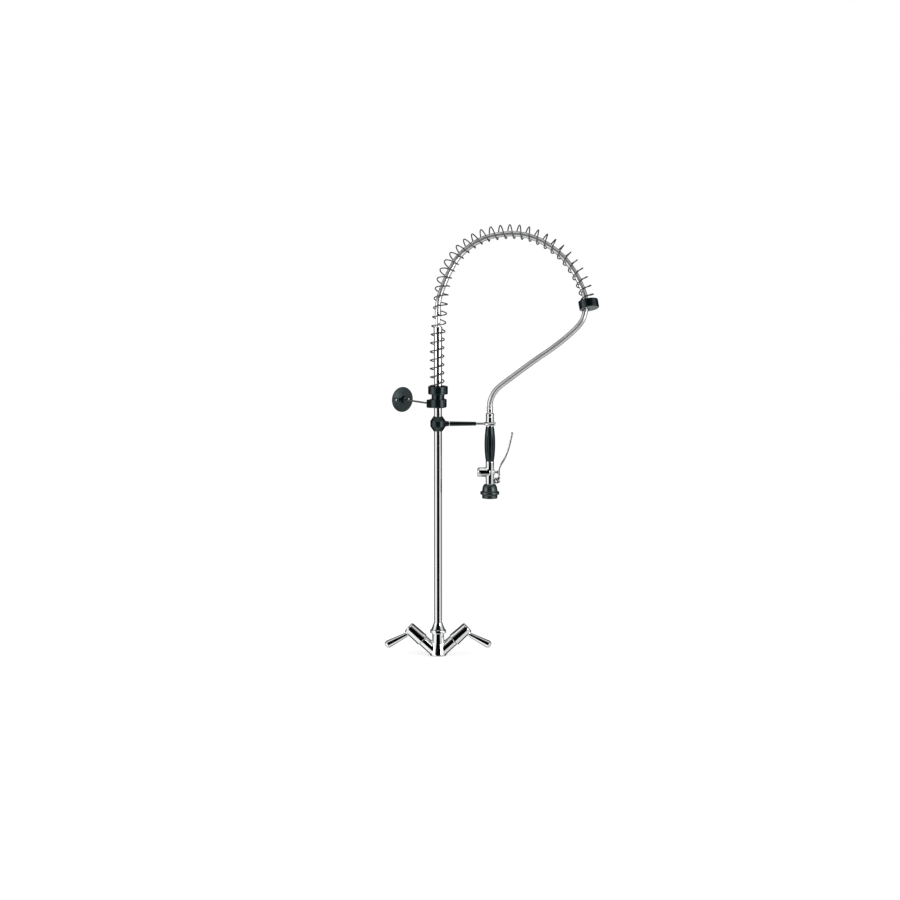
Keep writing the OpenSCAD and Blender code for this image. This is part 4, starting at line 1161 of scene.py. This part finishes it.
@dataclass(frozen=True)
class WhiteFloor:
    """A white floor that keeps the object's shadow and that metal doesn't mirror.

    Attributes:
        radius: Radius of the floor in metres.
        corners: Corners of its rim.
        tones_per_m: Waves of its faint mottling per metre.
        tone: The grey of the mottling.
        glow: What the floor adds to its own light, so that it is seen white.
    """

    radius: float = 14.0
    corners: int = 96
    tones_per_m: float = 3.0
    tone: Ramp = (0.3, 0.7, 0.84, 0.88)
    glow: float = 0.35

    def material(self) -> bpy.types.Material:
        """Builds a matt white that glows a little to the camera and that shiny rays pass.

        Returns:
            The floor's material.
        """
        material = bpy.data.materials.new("White floor")
        material.use_nodes = True
        graph = Graph(material.node_tree)
        place = graph.add("ShaderNodeTexCoord").outputs["Object"]
        rays = graph.add("ShaderNodeLightPath").outputs
        seen = graph.math("MAXIMUM", rays["Is Camera Ray"], rays["Is Transmission Ray"])
        paper = graph.add("ShaderNodeBsdfDiffuse")
        graph.feed(paper.inputs["Color"],
                   graph.remap(graph.noise(place, self.tones_per_m), self.tone))
        light = graph.add("ShaderNodeEmission")
        graph.feed(light.inputs["Strength"], graph.math("MULTIPLY", seen, self.glow))
        both = graph.add("ShaderNodeAddShader")
        graph.feed(both.inputs[0], paper.outputs[0])
        graph.feed(both.inputs[1], light.outputs[0])
        choice = graph.add("ShaderNodeMixShader")
        graph.feed(choice.inputs["Fac"], rays["Is Glossy Ray"])
        graph.feed(choice.inputs[1], both.outputs[0])
        graph.feed(choice.inputs[2], graph.add("ShaderNodeBsdfTransparent").outputs[0])
        graph.close(choice.outputs[0])
        return material

    def build(self) -> None:
        """Lays the floor."""
        work = bmesh.new()
        bmesh.ops.create_circle(work, cap_ends=True, segments=self.corners, radius=self.radius)
        mesh = bpy.data.meshes.new("floor")
        work.to_mesh(mesh)
        work.free()
        mesh.materials.append(self.material())
        floor = new_object("floor", mesh)


@dataclass(frozen=True)
class SoftLamp:
    """A square soft lamp.

    Attributes:
        name: Name of the lamp.
        place: Where it hangs.
        size: Length of its side.
        power: Its power in watts.
    """

    name: str
    place: Point
    size: float
    power: float

    def build(self, target: Point) -> None:
        """Hangs the lamp.

        Args:
            target: The point that it shines at.
        """
        data = bpy.data.lights.new(self.name, "AREA")
        data.shape = "SQUARE"
        data.size = self.size
        data.energy = self.power
        lamp = new_object(self.name, data)
        lamp.location = self.place
        way = Vector(target) - Vector(self.place)
        lamp.rotation_euler = way.to_track_quat("-Z", "Y").to_euler()


@dataclass
class Studio:
    """Camera, floor, world and lamps.

    Attributes:
        target: Point that the camera looks at.
        distance: Distance of the camera from it.
        elevation: Height of the view above level, in degrees.
        lens: Focal length in millimetres.
        sensor: Width of the camera's sensor in millimetres.
        sight: How far the camera sees.
        middle: Point that the lamps shine at.
        floor: The floor.
        room: The world.
        lamps: The lamps, the key lamp first.
    """

    target: Point = (0.0324, 0.0, 0.563)
    distance: float = 8.1
    elevation: float = 7.0
    lens: float = 120.0
    sensor: float = 36.0
    sight: float = 60.0
    middle: Point = (0.15, 0.0, 0.55)
    floor: WhiteFloor = WhiteFloor()
    room: MirroredRoom = MirroredRoom()
    lamps: tuple[SoftLamp, ...] = (
        SoftLamp("key_lamp", (3.3, -2.7, 1.2), size=2.0, power=60.0),
        SoftLamp("fill_lamp", (-3.7, -1.8, 1.15), size=1.6, power=18.0),
    )

    def camera(self) -> None:
        """Sets the camera up in front of the faucet, a little above level."""
        data = bpy.data.cameras.new("camera")
        data.lens = self.lens
        data.sensor_width = self.sensor
        data.clip_end = self.sight
        data.dof.use_dof = False
        camera = new_object("camera", data)
        tilt = math.radians(self.elevation)
        back = Vector((0.0, -math.cos(tilt), math.sin(tilt)))
        camera.location = Vector(self.target) + self.distance * back
        camera.rotation_euler = (-back).to_track_quat("-Z", "Y").to_euler()
        bpy.context.scene.camera = camera

    def build(self) -> None:
        """Sets up all of the studio but the camera."""
        self.floor.build()
        self.room.build()
        for lamp in self.lamps:
            lamp.build(self.middle)
        bpy.context.scene.view_settings.view_transform = "Standard"


# ---------------------------------------------------------------------- main


def corners(box: Sequence[Vector]) -> list[list[float]]:
    """The two corners of a box as plain lists of numbers."""
    return [[float(n) for n in corner] for corner in box]


def main() -> None:
    """Builds the scene in order and reports each piece."""
    logging.basicConfig(level=logging.INFO, format="%(message)s")
    for thing in list(bpy.data.objects):
        bpy.data.objects.remove(thing)
    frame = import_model()
    studio = Studio()
    studio.camera()
    parts = (Hose(), ArchSpring(), MixerBase(), Column(), WallBracket(), SprayHolder(), SprayGun())
    for part in parts:
        part.build(frame)
    studio.build()
    bpy.context.view_layer.update()


if __name__ == "__main__":
    main()
